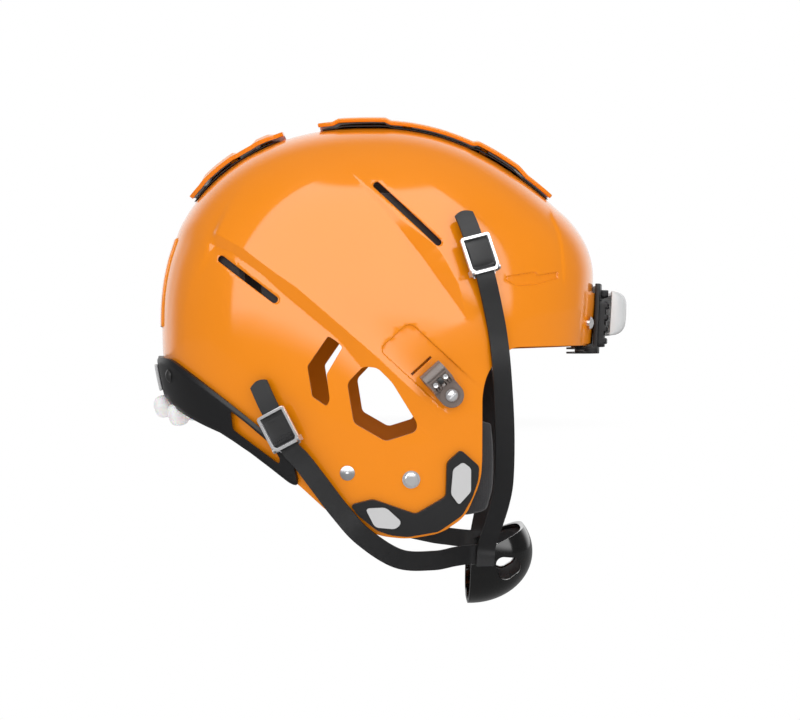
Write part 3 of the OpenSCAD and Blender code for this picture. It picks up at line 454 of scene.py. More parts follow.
def relief(x, y, z):
    """How far the moulded detail stands out of the plain shell."""
    out = sloped_face(x, z, LONG_FACE_LOW, LONG_FACE_HIGH, LONG_FACE_HEIGHT, (0.03, 0.78))
    out += sloped_face(x, z, SHORT_FACE_LOW, SHORT_FACE_HIGH, SHORT_FACE_HEIGHT, (0.2, 0.985))
    out -= RECESS_DEPTH * step(inside_depth(x, z, BROW_RECESS), -0.2, 0.35)
    # The clip lies in a channel that runs out towards the jaw edge, with a slit behind the clip
    u, v = clip_axes(x, z)
    corner = 5.0
    across = np.abs(v - 2.6 + 0.094 * u)
    du, dv = np.maximum(u - 43.5 + corner, 0), np.maximum(across - 13 + corner, 0)
    depth = corner - np.hypot(du, dv)
    out -= CHANNEL_DEPTH * step(depth, -0.2, 0.35) * step(u, -26, 12)
    # Each slot vent has a chamfered rim
    for line in SLOTS:
        s, _ = distance_to_line(x, z, line)
        out -= RIM_DEPTH * (1 - step(np.abs(s), SLOT_WIDTH / 2 - 0.4, SLOT_WIDTH / 2 + 1.1))
    # The middle of the back stands proud in an upright strip, and the back turns in behind a crease
    (low, high), half = BACK_STRIP
    back = np.minimum(np.minimum(z - low, high - z), half - np.abs(y))
    out += np.where(x < -60, STRIP_HEIGHT * step(back, 0.0, 1.4), 0.0)
    behind = np.clip(between(BACK_CREASE, z) - x, 0, 14)
    out -= 0.07 * behind * step(z, -10, 20) * (1 - step(z, 76, 92))
    # The brow turns in towards its edge, stands a little proud in front and carries the bumper's boss
    turned = mix(26, 36, (x - 74) / 45) - z
    out -= np.where(x > 40, 0.06 * np.maximum(turned, 0) * step(x, 55, 80), 0.0)
    edge = x - between(BROW_CREASE, z)
    out += BROW_STEP * step(edge, -1.2, 1.2) * step(z, 42, 62) * (1 - step(z, 94, 106)) * (x > 60)
    block = boss(turn_of(x, y, z)) * step(z, BROW_EDGE + 2.2, BROW_EDGE + 3.4)
    block = block * (1 - step(z, 45.2, 46.6))
    return out + np.where(x > 60, block, 0.0)


def shell_form(directions, d=0.0):
    """Puts a unit ball's points on the surface d outside the shell, with a skirt and a closed bottom."""
    directions = directions / np.linalg.norm(directions, axis=1)[:, None]
    turn = np.degrees(np.arctan2(directions[:, 1], directions[:, 0]))
    rise = np.arcsin(np.clip(directions[:, 2], -1, 1))
    skirt = np.clip(-rise / (math.pi / 2), 0, 1)
    low = -JAW_DEPTH - 14 - 2 * abs(d)
    level = np.where(rise > 0, BELT + (DOME_HEIGHT + d) * rounded_power(np.sin(rise), SIDE_POWER),
                     BELT - (BELT - low) * np.minimum(skirt / 0.94, 1))
    points = ring_point(turn, np.minimum(level, BELT + DOME_HEIGHT + d), d)
    closing = np.clip((1 - skirt) / 0.06, 0, 1)
    points[:, 0] = MID_X + (points[:, 0] - MID_X) * closing
    points[:, 1] *= closing
    return points


def ball(name, around, levels):
    bpy.ops.mesh.primitive_uv_sphere_add(segments=around, ring_count=levels, radius=1)
    return take_new(name)


def refine_where_it_turns(piece, limit):
    """Subdivides the ball where the relief changes by more than limit along an edge."""
    with editing(piece) as edit:
        edit.verts.ensure_lookup_table()
        place = shell_form(np.array([v.co[:] for v in edit.verts]))
        height = relief(*place.T)
        above = place[:, 2] > -JAW_DEPTH - 4
        ends = np.array([[edge.verts[0].index, edge.verts[1].index] for edge in edit.edges])
        turning = np.abs(height[ends[:, 0]] - height[ends[:, 1]]) > limit
        for line in (LONG_FACE_LOW, LONG_FACE_HIGH, SHORT_FACE_LOW, SHORT_FACE_HIGH):
            side, along = distance_to_line(place[:, 0], place[:, 2], line)
            side = np.where((np.abs(side) < 5) & (along > 0) & (along < 1), side, 0)
            turning |= side[ends[:, 0]] * side[ends[:, 1]] < 0
        for edge, chosen in zip(edit.edges, turning & above[ends[:, 0]]):
            if chosen:
                edge.select_set(True)
        bmesh.update_edit_mesh(piece.data)
        bpy.ops.mesh.subdivide(number_cuts=1, quadcorner="INNERVERT")


def slit_tool():
    """The cutter of the slit behind the clip, on the left side."""
    turn, u, v = math.radians(CLIP_TURN), 18, -1.5
    place = (CLIP_PLACE[0] - u * math.cos(turn) + v * math.sin(turn),
             CLIP_PLACE[1] + u * math.sin(turn) + v * math.cos(turn))
    tool = box("slit_tool_left", (0, 0, 0), (1.5, 16.5, 9))
    move_by(tool, side_frame(place, CLIP_TURN, 0.8))
    return tool


# How far a polished face, which gets no painted shade, looks outwards, and the area below which a face is
# only a speck
OUTWARD, SPECK_AREA = 0.35, 1e-7


def mark_outside(piece):
    """Marks the polished, lit faces: 1 on the outside of the wall, 0 on its inside and where it is cut,
    where the shell gets painted shade.
    """
    faces = piece.data.polygons
    away = values_of(faces, "center") / MM - (MID_X, 0, BELT)
    away[:, 2] = np.maximum(away[:, 2], 0)
    away /= np.linalg.norm(away, axis=1)[:, None]
    facing = (away * values_of(faces, "normal")).sum(axis=1)
    polished = (facing > OUTWARD) | (values_of(faces, "area", 1)[:, 0] < SPECK_AREA)
    # 1 where the shell is polished and lit, 0 where its material darkens it as painted shade
    layer = piece.data.attributes.new("polished", "FLOAT", "FACE")
    layer.data.foreach_set("value", polished.astype(float))


def make_shell():
    piece = ball("helmet_shell", 340, 170)
    for limit in (0.12, 0.16, 0.22):
        refine_where_it_turns(piece, limit)
    directions = points_of(piece)
    place = shell_form(directions)
    set_points(piece, place * MM)
    normals = np.array([v.normal[:] for v in piece.data.vertices])
    set_points(piece, (place + normals * relief(*place.T)[:, None]) * MM)
    inner = ball("inner_wall", 120, 60)
    set_points(inner, shell_form(points_of(inner), -WALL) * MM)
    cut(piece, inner)
    cut(piece, prism("edge_tool", SIDE_OUTLINE, 6, corner_steps=6), "INTERSECT")
    cut(piece, prism("hex_tool", HEX_HOLE, 2.4))
    cut(piece, prism("chevron_tool", CHEVRON_HOLE, 1.2))
    for (x0, z0), (x1, z1) in SLOTS:
        along = np.array([x1 - x0, z1 - z0]) / math.hypot(x1 - x0, z1 - z0)
        side = np.array([-along[1], along[0]]) * SLOT_WIDTH / 2
        ends = [np.array([x0, z0]) - along * 2, np.array([x1, z1]) + along * 2]
        corners = [ends[0] + side, ends[1] + side, ends[1] - side, ends[0] - side]
        cut(piece, prism("slot_tool", corners, 2.0))
    slit = slit_tool()
    cut(piece, mirrored(slit, "slit_tool_right"))
    cut(piece, slit)
    mark_outside(piece)
    smooth(piece, 32)
    return piece


shell = make_shell()


# Crown plates: a sheet that keeps its thickness and lifts in blocks, in shares of the half length
FRONT_ROWS = [-0.265, -0.197, -0.169, -0.054, 0.048, 0.075, 0.17, 0.265, 0.36, 0.449, 0.476, 0.565,
              0.66, 0.7, 0.76, 0.816]
FRONT_LIFTS = [0, 0, 1, 1, 1, 0, 0, 0, 0, 0, 1, 1, 1, 0, 0, 0]
REAR_ROWS = [-0.857, -0.81, -0.786, -0.72, -0.66, -0.636, -0.575, -0.551, -0.5, -0.46, -0.429]
REAR_LIFTS = [0, 0, 1, 1, 1, 0, 0, 1, 1, 0, 0]
PLATE_GAP, PLATE_THICK, PLATE_RAISE = 2.7, 2.8, 1.8
POST_RADIUS, POST_LENGTH, POST_RISE = 3, 7.7, 4
FRONT_POSTS = [(MID_X + share * HALF_LENGTH, side) for share in (0.143, 0.4966) for side in (18, -18)]
REAR_POSTS = [(MID_X - 0.646 * HALF_LENGTH, side) for side in (14, -14)]


def plate_side(half, share):
    return half * (1 - 0.28 * np.abs(2 * share - 1) ** 6)


def crown_sheet(name, rows, lifts, half, high, thick, raise_by, rim_lift, inset=0.0, dish=0.0,
                columns=170, lines=56):
    """A sheet over the crown: its outside stands high over the shell, and higher in its blocks."""
    def form(u, v):
        share = (u + 1) / 2
        row = mix(rows[0], rows[-1], share)
        x = MID_X + HALF_LENGTH * row + inset * (1 - 2 * share)
        y = v * plate_side(half - inset, share)
        lift = np.interp(row, rows, lifts) * mix(1.0, rim_lift, step(np.abs(v), 0.7, 0.95))
        hollow = dish * lift * step(half - 10 - np.abs(y), 0, 2.5) * step(np.abs(y), 3, 5.5)
        return np.stack([x, y, top_z(x, y, high + raise_by * lift - hollow)], -1)

    piece = curved_grid(name, columns, lines, form)
    thicken(piece, (MID_X, 0, 0), thick)
    return piece


def rod(name, radius, length, matrix, vertices=32):
    """A round rod that ends at the matrix's origin and runs down its z axis, in metres."""
    bpy.ops.mesh.primitive_cylinder_add(vertices=vertices, radius=radius, depth=length)
    piece = take_new(name)
    move_by(piece, matrix @ Matrix.Translation((0, 0, -length / 2)))
    return piece


def crown_plate(name, rows, lifts, half, posts, tilt, rim_lift=1.0):
    high = PLATE_GAP + PLATE_THICK
    piece = crown_sheet(name, rows, lifts, half, high, PLATE_THICK, PLATE_RAISE, rim_lift, dish=0.7)
    bevel(piece, 0.8, 3, 50)
    for x, y in posts:
        foot = Matrix.Translation((x, y, float(top_z(x, y))))
        head = foot @ Matrix.Rotation(math.radians(tilt), 4, "Y") @ Matrix.Translation((0, 0, POST_RISE))
        cut(piece, rod("post", POST_RADIUS, POST_LENGTH + POST_RISE, head), "UNION")
    smooth(piece, 35)
    return piece


def crown_cushion(name, rows, lifts, half, raise_by, rim_lift=1.0):
    """The cushion in the gap, thicker where the plate is raised."""
    piece = crown_sheet(name, rows, lifts, half, CLEAR + 0.7, 0.6, raise_by, rim_lift, 3.0,
                        columns=90, lines=30)
    return soften(piece, 0.3, 2, 50)


front_crown = crown_plate("front_crown_plate", FRONT_ROWS, FRONT_LIFTS, 36, FRONT_POSTS, 17)
rear_crown = crown_plate("rear_crown_plate", REAR_ROWS, REAR_LIFTS, 30, REAR_POSTS, -37, 0.3)
front_crown_cushion = crown_cushion("front_crown_cushion", FRONT_ROWS, FRONT_LIFTS, 36, 1.0)
rear_crown_cushion = crown_cushion("rear_crown_cushion", REAR_ROWS, REAR_LIFTS, 30, 0.5, 0.3)


# Jaw guards and bare badges
GUARD_OUTLINE = [
    (13.6, 56.4), (22.4, 48.5), (23, 27), (42, 16), (69, 25.5), (83, 22), (78.5, 15.5), (66, 5.5),
    (57, 2.6), (47, 1.6), (27.5, 4.8), (12.6, 15.0), (6.4, 26), (2.6, 37), (1.9, 46),
]
FRONT_BADGE = [(12.4, 48.8), (7.3, 45), (7.3, 30), (14.9, 21.8), (19.9, 28.7), (18.6, 44.4)]
LOW_BADGE = [(73.7, 19.9), (60.8, 20.5), (50.7, 11.1), (54.5, 6.7), (67.7, 7.9)]


def from_jaw(outline):
    """Outline measured back from the jaw edge and up from its bottom, as x and z."""
    return [(JAW_FRONT - back, up - JAW_DEPTH) for back, up in outline]


def jaw_guard():
    piece = side_panel("jaw_guard_left_trim", from_jaw(GUARD_OUTLINE), 0.3, 2.9, 2.0)
    return soften(piece, 1.1, 3)


def badge(name, outline, corner):
    piece = side_panel(name, from_jaw(outline), 3.2, 4.2, corner, 6)
    return soften(piece, 0.4, 2)


guards = [jaw_guard()]
guards.append(mirrored(guards[0], "jaw_guard_right_trim"))
badges = {}
for badge_name, outline, corner in (("front", FRONT_BADGE, 1.6), ("low", LOW_BADGE, 2.4)):
    left = badge(f"badge_{badge_name}_left", outline, corner)
    badges["left", badge_name] = left
    badges["right", badge_name] = mirrored(left, f"badge_{badge_name}_right")


# Bumpers
REAR_ANGLE, REAR_THICK, REAR_PLATE_THICK, REAR_FALL, RAIL_RISE = 70.5, 3.6, 2, 68, 5.2
BUMPER_WINDOW = [
    (-108, -32.2), (-106.7, -44.3), (-76.2, -65.8), (-75.4, -62.4), (-81.5, -53), (-97, -40.3),
]
REAR_LOW = [(0, 0), (0.14, 2), (0.28, 6), (0.467, 13.8), (0.664, 22.6), (0.7285, 27.7), (0.806, 35),
            (0.882, 43.8), (0.955, 53), (1, 57)]


def rear_top(a):
    a = np.abs(a)
    rail = RAIL_RISE * step(a, 12, 30) * (1 - 0.6 * step(a, 66, REAR_ANGLE))
    return 3 - REAR_FALL * (a / REAR_ANGLE) ** 2.3 + rail


def rear_low(a):
    return -NAPE_DEPTH - 2 - between(REAR_LOW, np.abs(a) / REAR_ANGLE)


def rear_bumper():
    """A band with chamfered edges and round tails, and a window on each side."""
    def form(u, v):
        a = REAR_ANGLE * u
        end = np.clip((np.abs(u) - 0.965) / 0.035, 0, 1)
        middle = (rear_top(a) + rear_low(a)) / 2
        half = (rear_top(a) - rear_low(a)) / 2 * (1 - 0.45 * (1 - np.sqrt(1 - 0.96 * end ** 2)))
        chamfer = 1.2 * step(np.abs(v), 0.8, 0.98)
        return ring_point(180 + a, middle + half * v, CLEAR + REAR_THICK - chamfer)

    piece = curved_grid("rear_bumper_band", 190, 26, form)
    thicken(piece, (MID_X, 0, -30), REAR_THICK - CLEAR, True)
    cut(piece, prism("window_tool", BUMPER_WINDOW, 2.0))
    return soften(piece, 0.6, 3, 50)


def rear_plate():
    def form(u, v):
        level = mix(-NAPE_DEPTH + 1, -3, (v + 1) / 2)
        return ring_point(180 + 12 * u, level, 0.6 + REAR_THICK + REAR_PLATE_THICK)

    piece = curved_grid("rear_nameplate", 24, 12, form)
    thicken(piece, (MID_X, 0, -10), REAR_PLATE_THICK)
    return soften(piece, 0.6, 3)


rear_band = rear_bumper()
nameplate = rear_plate()

FRONT_THICK, FRONT_ANGLE, UPRIGHT, FRONT_PLATE_THICK = 8.5, 12.5, 3.2, 2.0
FRONT_LOW = BROW_EDGE - 3.5
SCREW_ANGLES, SCREW_LEVEL = (-17.5, 17.5), 25


def front_panel(name, angle, zs, high, thick, follow=1.0, form_more=None, columns=30, rows=12, edge=0.5):
    """A panel round the brow between two levels, whose outside stands high over the shell and boss."""
    def form(u, v):
        turn = angle * u
        more = form_more(u, v) if form_more else 0.0
        return ring_point(turn, mix(zs[0], zs[1], (v + 1) / 2), high + follow * boss(turn) + more)

    piece = curved_grid(name, columns, rows, form)
    thicken(piece, (MID_X, 0, 20), thick)
    bevel(piece, edge, 2, 50)
    return piece


def join(name, pieces):
    activate(pieces[0])
    for piece in pieces:
        piece.select_set(True)
    bpy.ops.object.join()
    return take_new(name)


def front_bumper():
    """An upright on the boss with ribs and hooks, blades under the brow and a flange inside."""
    a, low, top = FRONT_ANGLE, FRONT_LOW, CLEAR + FRONT_THICK
    piece = front_panel("front_bumper_body", a, (low, BROW_EDGE + 44), CLEAR + UPRIGHT, UPRIGHT)
    parts = [front_panel("body", a - 1, (BROW_EDGE + 1, BROW_EDGE + 32), top - 1.6, top - 2.6)]
    for z in (3, 11, 19, 27):
        levels = (BROW_EDGE + z, BROW_EDGE + z + 4)
        parts.append(front_panel("rib", a - 1, levels, top, top - 1, rows=4, edge=0.9))
    for side in (-1, 1):
        levels = (BROW_EDGE + 35, BROW_EDGE + 40)
        parts.append(front_panel("hook", 2.2, levels, CLEAR + UPRIGHT + 4, 5, rows=4, columns=8))
        parts[-1].data.transform(Matrix.Translation((-0.4 * MM, side * 11 * MM, 0)))
    parts.append(front_panel("foot", a, (low, low + 4.5), CLEAR + 1, 3.8 + BOSS, rows=4))
    for z in (low, low + 3.1):
        parts.append(front_panel("blade", a, (z, z + 1.4), -2, WALL + 4, 0, rows=2, edge=0.3))
    inner = -WALL - 1
    parts.append(front_panel("lip", a, (low + 3.1, low + 9), inner, 1.6, 0, rows=4, edge=0.4))
    parts.append(front_panel("flange", BOSS_ANGLE, (low + 7, SCREW_LEVEL + 6), inner, 1.6, 0, edge=0.4))
    for part in parts:
        cut(piece, part, "UNION")
    for turn in SCREW_ANGLES:
        cut(piece, rod("screw_bore", 2.3, 60, ring_frame(turn, SCREW_LEVEL, 30)))
    smooth(piece, 35)
    return piece


front_block = front_bumper()


def front_plate():
    """A bulging bare plate, with slanted channels down its face."""
    def bulge(u, v):
        crown = np.sqrt(np.clip((1 - np.abs(u) ** 4) * (1 - np.abs(v) ** 4), 0, 1))
        slant = np.abs(u) - 0.18 * v
        channels = bump((slant - 0.36) / 0.035) + bump((slant - 0.62) / 0.035)
        return 9.9 * crown - 0.6 * channels * step(crown, 0.3, 0.8)

    levels = (BROW_EDGE + 9, BROW_EDGE + 39)
    high = 2 * CLEAR + FRONT_THICK + FRONT_PLATE_THICK
    piece = front_panel("front_plate_cover", 11, levels, high, FRONT_PLATE_THICK, 1.0, bulge, 90, 56, 0.6)
    smooth(piece)
    return piece


front_cover = front_plate()


# Side clips
CLIP_HALF, CLIP_WIDTH, CLIP_FOOT, CLIP_LOOP, WIRE_RADIUS = CLIP_LENGTH / 2, 15.6, 3.6, 5.2, 3.2
BOLT_OFFSET = 6.5 - CLIP_HALF


def in_clip(piece):
    """Puts a piece made in the clip's frame, x back along it and z outwards, on the left side."""
    move_by(piece, side_frame(CLIP_PLACE, CLIP_TURN, CLEAR))


def clip_body():
    """A smoked clip: a foot for the bolt, a loop for the face guard's wire, ribs and a front bar."""
    profile = [(BOLT_OFFSET, 0), (CLIP_HALF - CLIP_LOOP, 0), (CLIP_HALF - CLIP_LOOP, 2 * CLIP_LOOP),
               (2.5, 2 * CLIP_LOOP), (-1, CLIP_FOOT + 2.4), (-1.5, CLIP_FOOT), (BOLT_OFFSET, CLIP_FOOT)]
    piece = flat_outline("side_clip_left_body", profile)
    extrude(piece, (0, CLIP_WIDTH, 0))
    piece.data.transform(Matrix.Translation((0, -CLIP_WIDTH / 2, 0)))
    face_outwards(piece)

    def mend(tool, operation):
        apply(piece, "BOOLEAN", object=tool, operation=operation, solver="EXACT")
        bpy.data.objects.remove(tool)

    loop_x = CLIP_HALF - CLIP_LOOP
    mend(crosswise("loop", loop_x, CLIP_LOOP, CLIP_LOOP, CLIP_WIDTH), "UNION")
    mend(upright("foot", BOLT_OFFSET, 0, 0, CLIP_FOOT, CLIP_WIDTH / 2, 64), "UNION")
    mend(upright("rim", BOLT_OFFSET, 0, 1, CLIP_FOOT + 0.7, CLIP_WIDTH / 2 - 0.25, 64), "UNION")
    mend(upright("seat", BOLT_OFFSET, 0, CLIP_FOOT, CLIP_FOOT + 3, 5.0, 48), "DIFFERENCE")
    mend(box("ledge", (4.6, 0, 2 * CLIP_LOOP), (5.0, CLIP_WIDTH - 3.2, 2.6)), "DIFFERENCE")
    mend(crosswise("wire_bore", loop_x, CLIP_LOOP, WIRE_RADIUS, CLIP_WIDTH + 2), "DIFFERENCE")
    mend(upright("bolt_bore", BOLT_OFFSET, 0, -5, 20, 2.5), "DIFFERENCE")
    mend(box("groove", (loop_x - 0.6, 0, 2 * CLIP_LOOP), (0.9, CLIP_WIDTH - 2, 1.8)), "DIFFERENCE")
    for side in (-1, 1):
        for y in (1.7, 3.6, 5.5):
            mend(box("rib_gap", (0.6, side * y, CLIP_FOOT + 4.2), (4.2, 0.9, 6)), "DIFFERENCE")
    in_clip(piece)
    return soften(piece, 0.3, 2, 35)


def clip_knobs():
    """Two bright knobs on the clip's ledge."""
    knobs = []
    for side in (-1, 1):
        knob = upright("knob", 4.7, 4.1 * side, 2 * CLIP_LOOP - 1.6, 2 * CLIP_LOOP + 0.2, 1.6, 28)
        with editing(knob) as edit:
            for face in edit.faces:
                if face.normal.z > 0.9:
                    face.select_set(True)
            bmesh.update_edit_mesh(knob.data)
            bpy.ops.mesh.inset(thickness=0.7)
            bpy.ops.transform.translate(value=(0, 0, -0.5))
        knobs.append(knob)
    piece = join("side_clip_left_knobs", knobs)
    in_clip(piece)
    return soften(piece, 0.2, 2, 35)


def clip_core():
    """The black block between the knobs."""
    piece = box("side_clip_left_core", (4.7, 0, 2 * CLIP_LOOP - 0.6), (3.8, 3.2, 1.8))
    in_clip(piece)
    return soften(piece, 0.25, 2, 35)


clips = {}
for part_name, maker, slot_name in (("body", clip_body, "clip_smoke"), ("knobs", clip_knobs, "chrome"),
                                    ("core", clip_core, "snap_black")):
    left = maker()
    clips["left", part_name] = left, slot_name
    clips["right", part_name] = mirrored(left, f"side_clip_right_{part_name}"), slot_name


# Chin strap
STRAP_WIDTH, STRAP_THICK = 13, 1.4
UPPER_SNAP, UPPER_TURN = (48, 64), -15
LOWER_SNAP, LOWER_TURN = (-73, -43), -27
CAP_HEIGHT, BASE_THICK = 4.2, 1
BASE_TOP = CAP_HEIGHT + BASE_THICK
STRAP_LEVEL = BASE_TOP + 0.15 + STRAP_THICK / 2
CUP_HALF = 44
CUP_SIDE = CUP_HALF + CLEAR + STRAP_THICK / 2


def on_buckle(place, turn, y, z):
    matrix = side_frame(place, turn)
    return list(matrix @ Vector((0, y, z))), list(side_normal(*place))


def over_buckle(place, turn, tab):
    """Stations from the end of the tab over the buckle: y up it and z out of the shell."""
    level = [(y, STRAP_LEVEL) for y in (17, 0, -14)]
    return [on_buckle(place, turn, y, z) for y, z in tab + level]


def on_shell(x, z, d):
    n = side_normal(x, z)
    return list(np.array([x, float(side_y(x, z)), z]) + d * n), list(n)


UPPER_ROUTE = over_buckle(UPPER_SNAP, UPPER_TURN, [(31, 3.2), (25, 4.9)]) + [
    on_shell(57, 34, 3.4),
    on_shell(61, 16, 2),
    ((64.5, 105.5, -8), (0.35, 1, 0.1)),
    ((67, 93.5, -45), (0.2, 1, -0.25)),
    ((67.5, 79.5, -77), (0.2, 1, -0.35)),
    ((65.5, 70, -94), (0.2, 1, -0.4)),
    ((61, 58, -112), (0.2, 1, -0.5)),
    ((58, CUP_SIDE + STRAP_THICK + 2.6, -124), (0.25, 1, -0.3)),
    ((57.2, CUP_SIDE + STRAP_THICK + 1.4, -131), (0.25, 1, -0.1)),
    ((57, CUP_SIDE + STRAP_THICK + 0.9, -138), (0.25, 1, 0)),
]
LOWER_ROUTE = over_buckle(LOWER_SNAP, LOWER_TURN, [(34, 3.4), (26, 5.0)]) + [
    on_shell(-60, -63, 5.5),
    on_shell(-49, -78, 5),
    on_shell(-37, -94.4, 4.4),
    ((-23, 112, -111), (0, 1, -0.2)),
    ((-1, 102, -126), (0.2, 1, -0.2)),
    ((21.5, 80, -130), (0.6, 1, -0.1)),
    ((36, 60, -130), (0.8, 1, 0)),
    ((46, CUP_SIDE + 3.4, -130), (0.7, 1, 0)),
    ((53, CUP_SIDE + 0.5, -130.2), (0.2, 1, 0)),
    ((61, CUP_SIDE, -130.5), (0.05, 1, 0)),
]


def smooth_route(route, steps):
    """A smooth curve through the stations of a route, as rows of a point and a facing."""
    stations = np.array([[*point, *facing] for point, facing in route], float)
    rows = []
    for i in range(len(stations) - 1):
        a, b = stations[max(i - 1, 0)], stations[i]
        c, d = stations[i + 1], stations[min(i + 2, len(stations) - 1)]
        for t in np.arange(steps) / steps:
            rows.append(0.5 * (2 * b + t * (c - a) + t * t * (2 * a - 5 * b + 4 * c - d)
                               + t ** 3 * (3 * b - a - 3 * c + d)))
    return np.array(rows + [stations[-1]])


def unit(v):
    return v / np.linalg.norm(v)


# The rounding of a webbing's free end: its length and how far the corners are drawn in
ROUND_LENGTH, ROUND_PULL = 4.5, 2.4


def band(name, rows, width, thick):
    """Flat webbing along the rows with rounded edges, a round start and a UV map in its plane."""
    across_steps = 12
    half, cheek = width / 2, thick / 2
    flat = half - cheek * 0.4
    upper = [((-1 + 2 * k / across_steps) * flat, cheek) for k in range(across_steps + 1)]
    ring = upper + [(half, 0.0)] + [(s, -h) for s, h in upper[::-1]] + [(-half, 0.0)]
    count = len(ring)
    vertices, faces, uvs = [], [], []
    gone = 0.0
    for i, row in enumerate(rows):
        after, before = rows[min(i + 1, len(rows) - 1)], rows[max(i - 1, 0)]
        along = unit(after[:3] - before[:3])
        across = unit(np.cross(row[3:], along))
        face = np.cross(along, across)
        if i:
            gone += np.linalg.norm(row[:3] - rows[i - 1][:3])
        for s, h in ring:
            pull = max(0.0, 1 - gone / ROUND_LENGTH) * ROUND_PULL * (s / half) ** 2
            vertices.append(row[:3] + across * s + face * h + along * pull)
            uvs.append((s * MM, gone * MM))
    for i in range(len(rows) - 1):
        for k in range(count):
            n = (k + 1) % count
            faces.append((i * count + k, i * count + n, (i + 1) * count + n, (i + 1) * count + k))
    faces.append(tuple(range(count)))
    faces.append(tuple((len(rows) - 1) * count + k for k in range(count - 1, -1, -1)))
    mesh = bpy.data.meshes.new(name)
    mesh.from_pydata([tuple(v * MM) for v in vertices], [], faces)
    layer = mesh.uv_layers.new(name="weave")
    for loop in mesh.loops:
        layer.data[loop.index].uv = uvs[loop.vertex_index]
    piece = add_to_scene(name, mesh)
    with editing(piece, "SELECT"):
        bpy.ops.mesh.normals_make_consistent(inside=False)
    smooth(piece, 50)
    return piece


straps = {}
for level, route in (("upper", UPPER_ROUTE), ("lower", LOWER_ROUTE)):
    left = band(f"{level}_strap_left_webbing", smooth_route(route, 10), STRAP_WIDTH, STRAP_THICK)
    straps[level, "left"] = left
    straps[level, "right"] = mirrored(left, f"{level}_strap_right_webbing")


# Buckles: x across the strap, y up it and z out of the shell, from the frame's pin
BUCKLE_LENGTH = 26
PIN_PLACE, PIN_HEIGHT = 3 - BUCKLE_LENGTH / 2, BASE_TOP + STRAP_THICK + 0.6 + 1.8
RING_HALF, RING_LOW, RING_TOP, RING_BAR = 10.0, -1.4, BUCKLE_LENGTH - 3, 1.75
RING_SWING, RING_HALF_THICK = 2.5, 1.1


def buckle_frame(name, place, turn):
    """A chrome ring with cut corners, hung on the pin at its lower end."""
    half_width, low, top = RING_HALF, RING_LOW, RING_TOP
    outline = [(-half_width, low + 3.2), (-half_width + 2.6, low), (half_width - 2.6, low),
               (half_width, low + 3.2), (half_width, top - 1.2), (half_width - 1.2, top),
               (-half_width + 1.2, top), (-half_width, top - 1.2)]
    bpy.ops.mesh.primitive_circle_add(vertices=len(outline), radius=1, fill_type="NGON")
    piece = take_new(name)
    set_points(piece, np.array([[x, y, -RING_HALF_THICK] for x, y in outline]))
    with editing(piece, "SELECT"):
        bpy.ops.mesh.inset(thickness=RING_BAR, use_even_offset=True)
        bpy.ops.mesh.delete(type="ONLY_FACE")
    extrude(piece, (0, 0, 2 * RING_HALF_THICK))
    face_outwards(piece)
    move_by(piece, side_frame(place, turn) @ Matrix.Translation((0, PIN_PLACE, PIN_HEIGHT)))
    return soften(piece, 0.75, 4, 30, shade=50)


def map_weave(piece, up, scale=1.0):
    """A UV map from the points: x, and the axis that runs up the webbing."""
    layer = piece.data.uv_layers[0]
    layer.name = "weave"
    for loop in piece.data.loops:
        spot = piece.data.vertices[loop.vertex_index].co
        layer.data[loop.index].uv = (spot.x * scale, spot[up] * scale)


def buckle_fill(name, place, turn, toothed):
    """What fills the ring: a waisted loop of webbing, or a plate with teeth at its lower end, over black
    sheets of webbing, nearly as wide as the ring, that also stand in for the shade inside it.
    """
    low, high = PIN_PLACE + RING_SWING, PIN_PLACE + RING_TOP - RING_BAR
    foot = STRAP_LEVEL + STRAP_THICK / 2
    middle, half_length = (low + high) / 2, (high - low) / 2

    def form(u, v):
        if toothed:
            y = middle - 1.2 + (half_length - 1.6) * v
            teeth = np.where(np.sin(u * 9 * math.pi) > 0, 1.0, 0.0)
            teeth = teeth * step(-v, 0.72, 0.8) * (1 - step(-v, 0.93, 0.98))
            height = 1.5 - 0.5 * step(np.abs(v), 0.94, 1.0) + 0.8 * teeth - 0.5 * step(-v, 0.6, 0.66)
            return np.stack([7.3 * u, y, foot + height], -1)
        waist = 7.9 - 1.2 * (1 - v * v)
        height = 0.6 + 2.1 * np.sqrt(np.clip(1 - np.abs(v) ** 2.6, 0, 1)) - 0.5 * u * u
        return np.stack([waist * u, middle + half_length * v, foot + height], -1)

    bpy.ops.mesh.primitive_grid_add(x_subdivisions=72, y_subdivisions=40, size=2)
    piece = take_new(name)
    flat = points_of(piece)
    set_points(piece, form(flat[:, 0], flat[:, 1]))
    map_weave(piece, 1, MM)
    move_by(piece, side_frame(place, turn))
    if piece.data.polygons[0].normal.dot(Vector(side_normal(*place))) < 0:
        piece.data.flip_normals()
    apply(piece, "SOLIDIFY", thickness=0.9 * MM, offset=-1)
    parts = [piece]
    # Black sheets under the fill, wider than the webbing, cover the shell inside the ring as painted shade
    thick = 0.7
    for start, level in ((PIN_PLACE + RING_LOW, foot - 0.45), (low, foot + 1.0)):
        end = high + 0.8
        size = (2 * RING_HALF - 1.4, end - start, thick)
        backing = box("backing", (0, (start + end) / 2, level), size)
        move_by(backing, side_frame(place, turn))
        map_weave(backing, 2)
        parts.append(backing)
    piece = join(name, parts)
    smooth(piece, 40)
    return piece


frames, fills = {}, {}
for level, place, turn in (("upper", UPPER_SNAP, UPPER_TURN), ("lower", LOWER_SNAP, LOWER_TURN)):
    left = buckle_frame(f"buckle_ring_{level}_left", place, turn)
    frames[level, "left"] = left
    frames[level, "right"] = mirrored(left, f"buckle_ring_{level}_right")
    left = buckle_fill(f"{level}_strap_left_fill", place, turn, level == "lower")
    fills[level, "left"] = left
    fills[level, "right"] = mirrored(left, f"{level}_strap_right_fill")


